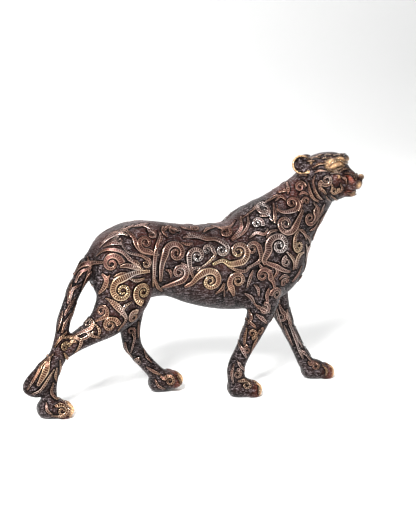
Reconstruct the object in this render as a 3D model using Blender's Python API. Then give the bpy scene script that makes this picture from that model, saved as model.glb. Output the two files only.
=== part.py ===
"""Walking leopard in cast brass, one solid piece, with scrolls carved over its coat.

Millimetres until the last step, which turns the mesh to metres. +X runs towards the head, +Y to the
animal's left, +Z up. The origin is under the middle of the casting, on the surface that it stands on.
"""

import math
from functools import partial

import bmesh
import bpy
import numpy as np
from mathutils import Matrix, Vector
from mathutils.bvhtree import BVHTree
from mathutils.kdtree import KDTree

MM = 0.001

# Trunk: places along the body are from under the middle of the back, heights are from the soles
RUMP_X = -101.0
CHEST_X = 108.0
RUMP_TOP = 170.0
BACK_DIP = 163.0
WITHERS_TOP = 171.0
GROIN_LOW = 98.0
BELLY_LOW = 81.0
RUMP_HALF_WIDTH = 27.0
WAIST_HALF_WIDTH = 25.0
RIB_HALF_WIDTH = 28.0

# Neck and head: the head is turned to the animal's right, about the middle of its neck
NECK_HALF_WIDTH = 18.0
NECK_HALF_DEPTH = 26.0
HEAD_X = 103.4
HEAD_LENGTH = 60.0
CROWN_TOP = 227.3
JAW_LOW = 180.3
SKULL_HALF_WIDTH = 22.0
MUZZLE_HALF_WIDTH = 11.0
HEAD_TURN = 31.0
HEAD_TILT = 5.0
EAR_RADIUS = 9.5
EAR_DEPTH = 8.0
EAR_WALL = 2.2
EAR_APART = 40.0

# Legs: where each joins the trunk, and where its ankle stands
HIP_HEIGHT = 137.0
SHOULDER_HEIGHT = 136.0
HIP_X = -69.0
SHOULDER_X = 72.0
STRIDE_HIND = 115.0
STRIDE_FORE = 86.0
HIND_STAND_X = -88.5
FORE_STAND_X = 77.0
LEG_APART = 3.0
HIP_HALF_APART = 17.0
SHOULDER_HALF_APART = 18.0
HIND_TRACK = 44.0
FORE_TRACK = 34.0
ANKLE_HEIGHT = 16.0
PAW_LENGTH = 32.0
PAW_HALF_WIDTH = 12.0
PAW_HEIGHT = 19.0
TOE_WIDTH = 6.2
SOLE_CUT = 1.5

# Tail: it falls from the rump and ends in a tuft that leans on the right hind leg
TAIL_RADIUS = 6.3
TUFT_HALF_DEPTH = 11.0
TAIL_END_X = -161.0
TAIL_END_HEIGHT = 27.0
TAIL_SWING = 26.0

# Carving: a band rises from the ground between two grooves, and winds inwards to its eye
BAND_RISE = 1.3
BAND_SHARE = 0.25
GROOVE_DEPTH = 0.9
GROOVE_WIDTH = 1.4
SCROLL_TURNS = 1.6
SCROLL_TIGHTNESS = 0.42

# The pattern is drawn over a template of the animal seen from the right. These are the lines through its
# trunk, neck and legs, from which each scroll is carried over to the same place on the casting
TEMPLATE = {
    "trunk": ((-101, 125), (108, 125)),
    "neck": ((58, 133), (122, 200)),
    "right_hind": ((-72, 137), (-146, 16)),
    "left_hind": ((-66, 137), (-31, 16)),
    "right_fore": ((69, 136), (34, 16)),
    "left_fore": ((75, 136), (120, 16)),
}

# Scrolls: middle along and above the template, half width, angle at which the band leaves, way that it winds
# inwards (1 is anticlockwise seen from the right), points along its stem
SCROLLS = {
    "trunk": [
        (-79.5, 115, 11.5, 90, 1, [(-67, 128), (-53, 128)]),
        (-60, 108, 10.5, -100, -1, []),
        (-86, 137, 9.5, 0, 1, []),
        (-56, 136, 5.0, 90, -1, [(-60, 142.5), (-72, 146), (-77, 152)]),
        (-55, 152, 8.3, -80, -1, [(-50, 144), (-44, 142)]),
        (-45, 161, 5.0, 120, -1, []),
        (-79, 157, 4.5, 100, 1, [(-86, 155)]),
        (-29.5, 142.5, 11.0, 180, -1, [(-41.5, 132), (-42, 118)]),
        (-24, 123, 9.0, -75, 1, [(-33, 113), (-40, 111)]),
        (-8.5, 138, 8.5, 190, -1, [(-14, 128), (-11, 119)]),
        (4.5, 143, 5.5, -10, 1, [(10, 138), (3, 131.5), (-7, 124.5)]),
        (17.5, 143.5, 6.8, 60, -1, [(12, 152), (4, 152), (-5, 154.5), (-16, 155)]),
        (33, 138.5, 10.5, -80, 1, [(24, 129.5), (17, 133), (8, 130)]),
        (4, 116, 11.5, 130, -1, [(-7, 119), (-12, 113.5), (-18, 110.5)]),
        (30.5, 112, 9.5, 230, -1, [(29, 99)]),
        (47.5, 142, 7.2, 0, 1, [(54, 133), (49, 128.5), (40, 124.5)]),
        (69.5, 143, 12.3, 200, -1, [(57, 132), (58, 127)]),
        (57.5, 116, 8.0, -20, 1, [(66, 110), (68, 103)]),
        (79.5, 129, 5.5, 100, 1, []),
        (92.5, 142, 7.0, 150, 1, [(89, 150), (93, 156)]),
        (-26, 161, 5.0, 0, 1, []),
        (-4, 161, 4.5, 180, -1, []),
        (24, 158, 6.0, 30, -1, []),
        (54, 164, 6.0, -30, 1, []),
    ],
    "neck": [
        (61, 178, 6.5, 150, 1, []),
        (81.5, 163, 10.5, -20, -1, [(94, 168), (98, 175)]),
        (88, 180.5, 7.5, -90, 1, [(79, 174), (73, 177)]),
        (107, 168, 8.5, 45, -1, [(113, 177)]),
        (101.5, 183, 4.2, 200, -1, []),
        (99, 196, 6.0, 0, 1, []),
    ],
    "right_hind": [
        (-98, 95, 6.5, -60, 1, [(-104, 87)]),
        (-90, 83, 8.0, 0, 1, []),
        (-68, 89, 6.5, 60, 1, []),
        (-110, 84, 6.0, -90, 1, [(-119, 76), (-127, 72)]),
        (-131, 66, 4.5, 40, 1, []),
    ],
    "right_fore": [
        (79, 108, 5.0, 0, 1, []),
        (69, 98, 7.0, 180, -1, []),
        (58, 86, 6.0, 90, -1, []),
        (47, 61, 5.0, -90, 1, []),
        (32, 23, 4.5, 90, -1, []),
    ],
    "left_hind": [
        (-59, 63, 4.5, -60, 1, [(-56, 57), (-58, 48), (-59, 42)]),
        (-51.5, 33, 4.5, 90, 1, []),
    ],
    "left_fore": [
        (91, 67, 6.0, 80, -1, [(87, 80)]),
    ],
}

# Meshing
BLEND_VOXEL = 1.6
FINE_VOXEL = 1.1
TRIANGLES = 11400


def clear_scene():
    for old in list(bpy.data.objects):
        bpy.data.objects.remove(old)


def smooth_rows(rows, steps):
    """Rows of numbers as stations along a form, with a smooth curve (Catmull-Rom) through each column."""
    rows = np.asarray(rows, float)
    padded = np.vstack([2 * rows[0] - rows[1], rows, 2 * rows[-1] - rows[-2]])
    out = []
    for a, b, c, d in zip(padded, padded[1:], padded[2:], padded[3:]):
        for t in np.arange(steps) / steps:
            cubic = (3 * b - a - 3 * c + d) * t**3
            out.append(0.5 * (2 * b + (c - a) * t + (2 * a - 5 * b + 4 * c - d) * t**2 + cubic))
    out.append(rows[-1])
    return np.array(out)


def skin_rings(mesh, rings):
    """Closed skin over a row of rings, each a loop of points, with a fan of faces over both ends."""
    loops = [[mesh.verts.new(Vector(point)) for point in ring] for ring in rings]
    count = len(loops[0])
    for near, far in zip(loops, loops[1:]):
        for k in range(count):
            mesh.faces.new((near[k], near[(k + 1) % count], far[(k + 1) % count], far[k]))
    for loop, flip in ((loops[0], True), (loops[-1], False)):
        tip = mesh.verts.new(sum((v.co for v in loop), Vector()) / count)
        for k in range(count):
            pair = (loop[k], loop[(k + 1) % count])
            mesh.faces.new((pair[1], pair[0], tip) if flip else (pair[0], pair[1], tip))


def limb(mesh, stations, steps=5, sides=28):
    """A tapering limb: each station is x, y, z, half depth as seen from the side, half width from the front."""
    rows = smooth_rows(stations, steps)
    centres, depth, width = rows[:, :3], rows[:, 3], rows[:, 4]
    tangents = np.gradient(centres, axis=0)
    tangents /= np.linalg.norm(tangents, axis=1)[:, None]
    rings = []

    def ring(centre, tangent, half_depth, half_width):
        across = np.array([0.0, 1.0, 0.0])
        across -= tangent * across.dot(tangent)
        across /= np.linalg.norm(across)
        along = np.cross(tangent, across)
        turn = np.linspace(0, 2 * math.pi, sides, endpoint=False)
        rings.append(
            centre + np.outer(np.cos(turn) * half_depth, along) + np.outer(np.sin(turn) * half_width, across)
        )

    # Round ends: a few rings more, drawn in like a hemisphere
    angles = np.radians([30, 60, 80])
    for a in angles[::-1]:
        reach = min(depth[0], width[0]) * math.sin(a)
        end = centres[0] - tangents[0] * reach
        ring(end, tangents[0], depth[0] * math.cos(a), width[0] * math.cos(a))
    for row in zip(centres, tangents, depth, width):
        ring(*row)
    for a in angles:
        reach = min(depth[-1], width[-1]) * math.sin(a)
        end = centres[-1] + tangents[-1] * reach
        ring(end, tangents[-1], depth[-1] * math.cos(a), width[-1] * math.cos(a))
    skin_rings(mesh, rings)


def barrel(mesh, stations, steps=5, sides=36, squareness=2.3):
    """A form that runs along X: each station is x, y, top z, bottom z, half width."""
    rows = smooth_rows(stations, steps)
    turn = np.linspace(0, 2 * math.pi, sides, endpoint=False)
    power = 2.0 / squareness
    side = np.sign(np.cos(turn)) * np.abs(np.cos(turn)) ** power
    rise = np.sign(np.sin(turn)) * np.abs(np.sin(turn)) ** power
    rings = []
    for x, y, top, bottom, half_width in rows:
        height = (top + bottom) / 2 + rise * (top - bottom) / 2
        rings.append(np.column_stack([np.full(sides, x), y + side * half_width, height]))
    skin_rings(mesh, rings)


def ball(mesh, centre, radii, turn=(0, 0, 0)):
    """An ellipsoid, turned by three angles in degrees."""
    spin = Matrix.Identity(4)
    for angle, axis in zip(turn, "XYZ"):
        spin = Matrix.Rotation(math.radians(angle), 4, axis) @ spin
    place = Matrix.Translation(centre) @ spin @ Matrix.Diagonal((*radii, 1))
    turns = np.linspace(0, 2 * math.pi, 24, endpoint=False)
    rings = []
    for a in np.radians(np.arange(-80, 81, 10)):
        flat, rise = math.cos(a), math.sin(a)
        rings.append([place @ Vector((math.cos(t) * flat, math.sin(t) * flat, rise)) for t in turns])
    skin_rings(mesh, rings)


def trunk(mesh):
    """Ribs, waist and rump. Each row: share of the way from rump to chest, top, bottom, half width."""
    rows = [
        (0.0, RUMP_TOP - 24, GROIN_LOW + 20, RUMP_HALF_WIDTH - 17),
        (0.024, RUMP_TOP - 17, GROIN_LOW + 10, RUMP_HALF_WIDTH - 9),
        (0.072, RUMP_TOP - 9, GROIN_LOW + 3, RUMP_HALF_WIDTH - 3),
        (0.158, RUMP_TOP - 1.5, GROIN_LOW, RUMP_HALF_WIDTH),
        (0.244, RUMP_TOP, GROIN_LOW, RUMP_HALF_WIDTH),
        (0.33, (RUMP_TOP * 2 + BACK_DIP) / 3, GROIN_LOW + 1, (RUMP_HALF_WIDTH + WAIST_HALF_WIDTH) / 2),
        (0.426, BACK_DIP + 1.5, (GROIN_LOW + BELLY_LOW * 1.6) / 2.6 + 3.5, WAIST_HALF_WIDTH),
        (0.522, BACK_DIP, BELLY_LOW + 4, (WAIST_HALF_WIDTH * 2 + RIB_HALF_WIDTH) / 3),
        (0.617, BACK_DIP + 1.5, BELLY_LOW + 0.5, RIB_HALF_WIDTH - 0.5),
        (0.713, WITHERS_TOP - 3, BELLY_LOW, RIB_HALF_WIDTH),
        (0.809, WITHERS_TOP, BELLY_LOW + 2.5, RIB_HALF_WIDTH - 0.5),
        (0.895, WITHERS_TOP - 3, BELLY_LOW + 10, RIB_HALF_WIDTH - 3),
        (0.957, WITHERS_TOP - 13, BELLY_LOW + 21, RIB_HALF_WIDTH - 8),
        (1.0, WITHERS_TOP - 27, BELLY_LOW + 33, RIB_HALF_WIDTH - 18),
    ]
    barrel(mesh, [(RUMP_X + share * (CHEST_X - RUMP_X), 0, top, low, wide) for share, top, low, wide in rows])


def neck_line():
    """Both ends of the neck's middle, along X and Z: inside the ribs, and at the back of the skull."""
    return (SHOULDER_X - 14, WITHERS_TOP - 38), (HEAD_X + 19, CROWN_TOP - 27.5)


def neck(mesh):
    """Each row: share of the way from inside the ribs to the skull, rise, half depth, half width."""
    start, end = (Vector((x, 0, z)) for x, z in neck_line())
    rows = [
        (0.0, 0.0, 16, 8),
        (0.31, -3.2, 14.5, 8),
        (0.578, -3.4, 5.2, 3.5),
        (0.75, -4.0, 1.0, 1),
        (0.89, -3.5, -2.0, 0),
        (1.0, -2.0, -5.0, 0),
    ]
    stations = []
    for share, rise, deep, wide in rows:
        place = start.lerp(end, share)
        stations.append((place.x, 0, place.z + rise, NECK_HALF_DEPTH + deep, NECK_HALF_WIDTH + wide))
    limb(mesh, stations)


def blades_and_haunches(mesh):
    for side, sunk in ((-1, 5), (1, 0)):
        ball(mesh, (SHOULDER_X - 22, side * 13, WITHERS_TOP - 13 - sunk), (24, 8, 17), (0, -32, 0))
        ball(mesh, (SHOULDER_X - 4, side * 18, SHOULDER_HEIGHT - 1), (28, 11, 36), (0, 12, 0))
    ball(mesh, (HIP_X - 4, -15.5, HIP_HEIGHT - 9), (29, 13.5, 33))
    ball(mesh, (HIP_X + 3, 15.5, HIP_HEIGHT - 9), (29, 13.5, 33))


def leg(mesh, top, top_half_apart, ankle, rows):
    """Each row: share of the way down, bend forward of the straight line, half depth, half width."""
    stations = []
    for share, bend, depth, width in rows:
        place = Vector((top[0], 0, top[1])).lerp(Vector(ankle), share)
        spread = min(1.0, 2.4 * share)
        apart = math.copysign(top_half_apart + (abs(ankle[1]) - top_half_apart) * spread, ankle[1])
        stations.append((place.x + bend, apart, place.z, depth, width))
    limb(mesh, stations)


def ankle_places():
    """Right hind, left hind, right fore and left fore: the left hind and the left fore are in front."""
    hind, fore = HIND_TRACK / 2, FORE_TRACK / 2
    return {
        "right_hind": (HIND_STAND_X - STRIDE_HIND / 2, -hind, ANKLE_HEIGHT),
        "left_hind": (HIND_STAND_X + STRIDE_HIND / 2, hind, ANKLE_HEIGHT),
        "right_fore": (FORE_STAND_X - STRIDE_FORE / 2, -fore, ANKLE_HEIGHT),
        "left_fore": (FORE_STAND_X + STRIDE_FORE / 2, fore, ANKLE_HEIGHT),
    }


def legs(mesh):
    ankles = ankle_places()
    right_hind = [
        (0.0, 0.0, 26, 12),
        (0.174, 9.9, 29, 13),
        (0.314, 15.2, 24, 12.5),
        (0.438, 11.4, 16.5, 11),
        (0.521, 2.6, 11, 9),
        (0.595, -8.0, 8.5, 7.5),
        (0.669, -14.5, 8, 7),
        (0.793, -10.8, 6, 6),
        (0.909, -5.2, 6, 6.5),
        (1.0, 0.0, 8, 8.5),
    ]
    left_hind = [
        (0.0, 0.0, 26, 12),
        (0.213, -3.5, 25, 13),
        (0.41, -6.3, 15.5, 11),
        (0.59, -12.7, 10.5, 9),
        (0.73, -15.5, 9, 8),
        (0.836, -11.3, 7.5, 7),
        (0.934, -4.7, 7.5, 7.5),
        (1.0, 0.0, 8, 8),
    ]
    right_fore = [
        (0.0, 0.0, 22, 10),
        (0.203, 2.3, 19, 11),
        (0.407, 5.7, 14.5, 10.5),
        (0.542, 4.5, 11.8, 9.5),
        (0.669, 2.1, 9.5, 8.2),
        (0.78, -1.4, 8.2, 7.4),
        (0.89, -3.5, 8.8, 7.4),
        (1.0, 0.0, 8.5, 8.5),
    ]
    left_fore = [
        (0.0, 0.0, 20, 10),
        (0.198, -3.0, 16, 11),
        (0.397, -5.3, 12.2, 10),
        (0.562, -6.6, 9, 9),
        (0.694, -5.4, 7, 7.5),
        (0.81, -3.8, 6.4, 7),
        (0.926, -1.6, 7, 7.5),
        (1.0, 0.0, 8, 8.5),
    ]
    leg(mesh, (HIP_X - LEG_APART, HIP_HEIGHT), HIP_HALF_APART, ankles["right_hind"], right_hind)
    leg(mesh, (HIP_X + LEG_APART, HIP_HEIGHT), HIP_HALF_APART, ankles["left_hind"], left_hind)
    leg(mesh, (SHOULDER_X - LEG_APART, SHOULDER_HEIGHT), SHOULDER_HALF_APART, ankles["right_fore"], right_fore)
    leg(mesh, (SHOULDER_X + LEG_APART, SHOULDER_HEIGHT), SHOULDER_HALF_APART, ankles["left_fore"], left_fore)


# How far each heel lies behind its ankle, and how far the toes are lifted
PAW_POSES = {
    "right_hind": (11.0, 0.0),
    "left_hind": (9.0, 5.0),
    "right_fore": (8.0, 0.0),
    "left_fore": (4.0, 0.0),
}


def paws(mesh):
    """Each row: share of the way from heel to toes, shares of height and half width, rise of the sole."""
    rows = [
        (0.0, 0.66, 0.55, 5.0),
        (0.14, 0.92, 0.82, 1.5),
        (0.38, 1.0, 1.0, 0.0),
        (0.62, 0.88, 1.03, 0.0),
        (0.8, 0.62, 0.9, 0.5),
        (0.9, 0.4, 0.7, 2.0),
    ]
    for name, ankle in ankle_places().items():
        heel, lift = PAW_POSES[name]
        stations = []
        for share, tall, wide, rise in rows:
            low = lift * share
            width = PAW_HALF_WIDTH * wide
            sole = low + rise - SOLE_CUT
            x = ankle[0] - heel + share * PAW_LENGTH
            stations.append((x, ankle[1], low + PAW_HEIGHT * tall, sole, width))
        barrel(mesh, stations, squareness=2.1)


def toes(mesh):
    """Four toes to a paw, the middle two in front."""
    for name, ankle in ankle_places().items():
        heel, lift = PAW_POSES[name]
        for k in (-1.5, -0.5, 0.5, 1.5):
            back = 3.2 if abs(k) > 1 else 0.0
            x = ankle[0] - heel + PAW_LENGTH - 7.5 - back
            centre = (x, ankle[1] + k * TOE_WIDTH, 6.6 + lift)
            ball(mesh, centre, (9.0, TOE_WIDTH * 0.56, 7.2), (0, 16, k * 7))


def tail(mesh):
    """Each row: share of the way from root to tuft, bend forward of a straight line, half depth, half width."""
    root = Vector((RUMP_X + 11, 0, RUMP_TOP - 28))
    end = Vector((TAIL_END_X, 0, TAIL_END_HEIGHT))
    rows = [
        (0.0, 0.0, TAIL_RADIUS * 1.9, TAIL_RADIUS * 1.75),
        (0.087, -5.0, TAIL_RADIUS * 1.4, TAIL_RADIUS * 1.4),
        (0.2, -7.8, TAIL_RADIUS * 1.15, TAIL_RADIUS * 1.15),
        (0.322, -8.0, TAIL_RADIUS * 1.03, TAIL_RADIUS * 1.03),
        (0.47, -5.6, TAIL_RADIUS, TAIL_RADIUS),
        (0.635, 0.0, TAIL_RADIUS, TAIL_RADIUS),
        (0.757, 2.2, TAIL_RADIUS * 0.95, TAIL_RADIUS),
        (0.852, -0.4, TUFT_HALF_DEPTH - 2.6, TAIL_RADIUS * 1.05),
        (0.948, -1.0, TUFT_HALF_DEPTH, TAIL_RADIUS * 1.1),
        (1.0, 0.0, TUFT_HALF_DEPTH, TAIL_RADIUS * 0.95),
    ]
    stations = []
    for share, bend, depth, width in rows:
        place = root.lerp(end, share)
        swing = min(1.0, share / 0.8)
        y = -TAIL_SWING * swing * swing * (3 - 2 * swing)
        stations.append((place.x + bend, y, place.z, depth, width))
    limb(mesh, stations)


def turned_head(mesh, build):
    """Builds parts of the head looking straight ahead, then turns them with it."""
    known = set(mesh.verts)
    build(mesh)
    fresh = [v for v in mesh.verts if v not in known]
    pivot = (HEAD_X + 9, 0, (CROWN_TOP + JAW_LOW) / 2)
    tilt = Matrix.Rotation(math.radians(-HEAD_TILT), 3, "X")
    turn = Matrix.Rotation(math.radians(-HEAD_TURN), 3, "Z")
    bmesh.ops.rotate(mesh, cent=pivot, matrix=turn @ tilt, verts=fresh)


def skull(mesh):
    """Each row: share of the way from nape to nose, drop of the top, rise of the jaw, half width."""
    rows = [
        (0.0, 14.0, 11.0, SKULL_HALF_WIDTH - 10),
        (0.123, 6.3, 3.7, SKULL_HALF_WIDTH - 3),
        (0.293, 1.5, 0.5, SKULL_HALF_WIDTH),
        (0.477, 0.0, 0.0, SKULL_HALF_WIDTH),
        (0.615, 2.2, 1.6, (SKULL_HALF_WIDTH + MUZZLE_HALF_WIDTH + 4) / 2),
        (0.723, 9.0, 4.0, MUZZLE_HALF_WIDTH + 3),
        (0.815, 15.6, 7.0, MUZZLE_HALF_WIDTH + 0.5),
        (0.923, 20.6, 11.0, MUZZLE_HALF_WIDTH - 1.5),
        (1.0, 24.5, 15.0, MUZZLE_HALF_WIDTH - 5),
    ]
    stations = []
    for share, drop, rise, width in rows:
        stations.append((HEAD_X + share * HEAD_LENGTH, 0, CROWN_TOP - drop, JAW_LOW + rise, width))
    barrel(mesh, stations)
    for side in (-1, 1):
        ball(mesh, (HEAD_X + 8, side * (EAR_APART / 2 - 9), CROWN_TOP - 14), (9, 8, 8))


def head(mesh):
    turned_head(mesh, skull)


def ears(mesh):
    """Round cupped ears, turned in profile: back, outside of the cup, rolled rim, inside of the cup."""
    inner = EAR_RADIUS - EAR_WALL
    floor = -EAR_DEPTH * 0.45
    profile = [
        (EAR_RADIUS * 0.62, -EAR_DEPTH),
        (EAR_RADIUS * 0.86, -EAR_DEPTH * 0.6),
        (EAR_RADIUS, -EAR_WALL * 0.9),
        (EAR_RADIUS - EAR_WALL * 0.12, -EAR_WALL * 0.2),
        (EAR_RADIUS - EAR_WALL * 0.5, 0.0),
        (inner + EAR_WALL * 0.1, -EAR_WALL * 0.3),
        (inner, -EAR_WALL),
        (inner * 0.86, floor * 0.9),
        (inner * 0.5, floor),
    ]
    turn = np.linspace(0, 2 * math.pi, 32, endpoint=False)
    for side in (-1, 1):
        facing = Vector((0.35, side * 0.9, 0.25)).to_track_quat("Z", "Y").to_matrix()
        centre = Vector((HEAD_X + 5.5, side * EAR_APART / 2, CROWN_TOP - 12))
        rings = []
        for radius, height in profile:
            flat = [Vector((radius * math.cos(a), radius * math.sin(a), height)) for a in turn]
            rings.append([centre + facing @ point for point in flat])
        skin_rings(mesh, rings)


def face(mesh):
    """Brows, eyes, whisker pads, nose and chin, on the skull."""
    for side in (-1, 1):
        ball(mesh, (HEAD_X + 36, side * 14.5, CROWN_TOP - 11), (9.5, 4.8, 5), (0, 8, side * -26))
        ball(mesh, (HEAD_X + 49, side * 9.0, CROWN_TOP - 26), (4.8, 4.2, 4.2))
        ball(mesh, (HEAD_X + 54, side * 4.0, CROWN_TOP - 29.5), (4.5, 4.5, 5))
    ball(mesh, (HEAD_X + HEAD_LENGTH - 1.5, 0, CROWN_TOP - 23), (3.2, 4.4, 3.0))
    ball(mesh, (HEAD_X + 47, 0, JAW_LOW + 8.5), (8, 6.5, 3.8))


def face_and_ears(mesh):
    turned_head(mesh, ears)
    turned_head(mesh, face)


def mesh_object(name, shape):
    data = bpy.data.meshes.new(name)
    shape.to_mesh(data)
    shape.free()
    obj = bpy.data.objects.new(name, data)
    bpy.context.scene.collection.objects.link(obj)
    return obj


def fused(shape, voxel, rounds):
    """One skin over masses that pass through each other, softened where they meet."""
    bmesh.ops.recalc_face_normals(shape, faces=shape.faces[:])
    obj = mesh_object("masses", shape)
    remesh = obj.modifiers.new("Fuse", "REMESH")
    remesh.mode = "VOXEL"
    remesh.voxel_size = voxel
    smooth = obj.modifiers.new("Soften", "SMOOTH")
    smooth.factor = 0.5
    smooth.iterations = rounds
    result = bmesh.new()
    result.from_object(obj, bpy.context.evaluated_depsgraph_get())
    bpy.data.objects.remove(obj)
    return result


def smooth_body():
    masses = bmesh.new()
    for build in (trunk, neck, blades_and_haunches, legs, paws, tail, head):
        build(masses)
    body = fused(masses, BLEND_VOXEL, 12)
    for build in (face_and_ears, toes):
        build(body)
    return fused(body, FINE_VOXEL, 3)


def template_lines():
    """The lines of the template, where they run in the casting."""
    tops = {"hind": (HIP_X, HIP_HEIGHT), "fore": (SHOULDER_X, SHOULDER_HEIGHT)}
    middle = (RUMP_TOP + BELLY_LOW) / 2
    lines = {
        "trunk": ((RUMP_X, middle), (CHEST_X, middle)),
        "neck": neck_line(),
    }
    for name, ankle in ankle_places().items():
        side, end = name.split("_")
        x, z = tops[end]
        lines[name] = ((x + (LEG_APART if side == "left" else -LEG_APART), z), (ankle[0], ankle[2]))
    return lines


def carried(line, drawn, x, z):
    """A place on the template, carried to the casting with the line that it lies beside."""
    start, end = Vector(line[0]), Vector(line[1])
    drawn_start, drawn_end = Vector(drawn[0]), Vector(drawn[1])
    along, drawn_along = end - start, drawn_end - drawn_start
    off = Vector((x, z)) - drawn_start
    share = off.dot(drawn_along) / drawn_along.length_squared
    beside = drawn_along.cross(off) / drawn_along.length_squared
    place = start + along * share + Vector((-along.y, along.x)) * beside
    return place.x, place.y


def on_skin(skin, x, z, side):
    """Place and outward normal of the skin as seen squarely from one side, or else where it is nearest."""
    place, normal, _, _ = skin.ray_cast(Vector((x, side * 100, z)), Vector((0, -side, 0)))
    if place is None:
        place, normal, _, _ = skin.find_nearest(Vector((x, side * RIB_HALF_WIDTH / 2, z)))
    return place, normal


def band_of_scroll(skin, carry, side, x, z, radius, leave, wind, stem):
    """Points and half widths of one scroll's band, from its eye out to the end of its stem, on the skin."""
    middle, normal = on_skin(skin, *carry(x, z), side)
    along = (Vector((1, 0, 0)) - normal * normal.x).normalized()
    upward = (Vector((0, 0, 1)) - normal * normal.z - along * along.z).normalized()
    opposite = SCROLL_TIGHTNESS**0.5
    widest = radius / ((1 + opposite) / 2 * (1 + BAND_SHARE))
    off_centre = widest * (1 - opposite) / 2
    rows = []
    turns = SCROLL_TURNS * min(1.0, 0.55 + radius / 24)
    for turn in np.linspace(turns, 0, 22):
        reach = widest * SCROLL_TIGHTNESS**turn
        angle = math.radians(leave) + wind * turn * 2 * math.pi
        a = reach * math.cos(angle) - off_centre * math.cos(math.radians(leave))
        b = reach * math.sin(angle) - off_centre * math.sin(math.radians(leave))
        rows.append((*skin.find_nearest(middle + along * a + upward * b)[0], reach * BAND_SHARE))
    for count, point in enumerate(stem, 1):
        place, _ = on_skin(skin, *carry(*point), side)
        rows.append((*place, widest * BAND_SHARE * (1 - 0.75 * count / len(stem))))
    return smooth_rows(rows, 4)


def all_bands(skin):
    """Both flanks and both sides of the neck carry the pattern, and each leg the side that faces right."""
    lines = template_lines()
    bands = []
    for region, scrolls in SCROLLS.items():
        carry = partial(carried, lines[region], TEMPLATE[region])
        for side in (-1, 1) if region in ("trunk", "neck") else (-1,):
            bands += [band_of_scroll(skin, carry, side, *scroll) for scroll in scrolls]
    return bands


def carve(body):
    """Raises the bands from the ground, and sinks a groove along both edges of each."""
    body.normal_update()
    skin = BVHTree.FromBMesh(body)
    samples = np.vstack(all_bands(skin))
    tree = KDTree(len(samples))
    for index, sample in enumerate(samples):
        tree.insert(sample[:3], index)
    tree.balance()
    moves = []
    for vert in body.verts:
        _, index, distance = tree.find(vert.co)
        share = distance / samples[index][3]
        past = (distance - samples[index][3]) / GROOVE_WIDTH
        if share < 1:
            moves.append(BAND_RISE * (1 + math.cos(share * math.pi)) / 2 - GROOVE_DEPTH * share**4)
        elif past < 1:
            moves.append(-GROOVE_DEPTH * (1 + math.cos(past * math.pi)) / 2)
        else:
            moves.append(0.0)
    normals = [vert.normal.copy() for vert in body.verts]
    for vert, normal, move in zip(body.verts, normals, moves):
        vert.co += normal * move


def thinned(body, triangles):
    """The same skin with fewer triangles, most of them kept where it is carved."""
    obj = mesh_object("carved", body)
    thin = obj.modifiers.new("Thin", "DECIMATE")
    thin.ratio = triangles / (2 * len(obj.data.polygons))
    thin.use_collapse_triangulate = True
    result = bmesh.new()
    result.from_object(obj, bpy.context.evaluated_depsgraph_get())
    bpy.data.objects.remove(obj)
    return result


def stand_flat(body):
    """Cuts the soles flat at the height of the surface, and centres the casting over the origin."""
    everything = body.verts[:] + body.edges[:] + body.faces[:]
    bmesh.ops.bisect_plane(body, geom=everything, plane_co=(0, 0, 0), plane_no=(0, 0, -1), clear_outer=True)
    rims = [edge for edge in body.edges if edge.is_boundary]
    bmesh.ops.holes_fill(body, edges=rims)
    bmesh.ops.triangulate(body, faces=body.faces[:])
    places = np.array([vert.co for vert in body.verts])
    middle = (places.min(axis=0) + places.max(axis=0)) / 2
    bmesh.ops.translate(body, vec=(-middle[0], -middle[1], 0), verts=body.verts[:])


def aged_brass():
    material = bpy.data.materials.new("aged_brass")
    material.use_nodes = True
    shader = material.node_tree.nodes["Principled BSDF"]
    shader.inputs["Base Color"].default_value = (0.17, 0.085, 0.045, 1.0)
    shader.inputs["Metallic"].default_value = 0.9
    shader.inputs["Roughness"].default_value = 0.42
    return material


def main():
    clear_scene()
    body = smooth_body()
    carve(body)
    body = thinned(body, TRIANGLES)
    stand_flat(body)
    bmesh.ops.scale(body, vec=(MM, MM, MM), verts=body.verts[:])
    leopard = mesh_object("leopard", body)
    leopard.data.materials.append(aged_brass())


main()
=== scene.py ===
"""A walking leopard in cast brass with a carved coat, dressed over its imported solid.

Shapes are worked out in millimetres and turned to metres when a piece is finished. +X runs towards the head,
+Y to the animal's left, +Z up.
"""

import math
from functools import partial

import bmesh
import bpy
import numpy as np
from mathutils import Matrix, Vector
from mathutils.bvhtree import BVHTree
from mathutils.kdtree import KDTree


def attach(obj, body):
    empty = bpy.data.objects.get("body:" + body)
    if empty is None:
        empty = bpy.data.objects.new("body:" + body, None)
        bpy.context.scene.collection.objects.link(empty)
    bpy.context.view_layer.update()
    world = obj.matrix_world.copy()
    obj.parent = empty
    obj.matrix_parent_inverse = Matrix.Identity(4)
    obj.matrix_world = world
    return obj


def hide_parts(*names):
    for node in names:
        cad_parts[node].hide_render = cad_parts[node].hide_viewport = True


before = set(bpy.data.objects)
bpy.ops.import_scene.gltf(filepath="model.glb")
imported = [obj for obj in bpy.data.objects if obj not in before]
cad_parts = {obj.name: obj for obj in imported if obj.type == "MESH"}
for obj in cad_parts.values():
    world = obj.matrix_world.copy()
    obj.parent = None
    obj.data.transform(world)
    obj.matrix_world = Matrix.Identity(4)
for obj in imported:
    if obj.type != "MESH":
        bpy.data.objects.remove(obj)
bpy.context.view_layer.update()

# Trunk and neck. The real casting is hollow here and was poured round a core, so its outside is one smooth
# skin. Ribs, waist and rump are a loft through upright sections, the neck is a tapering limb.

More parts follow.
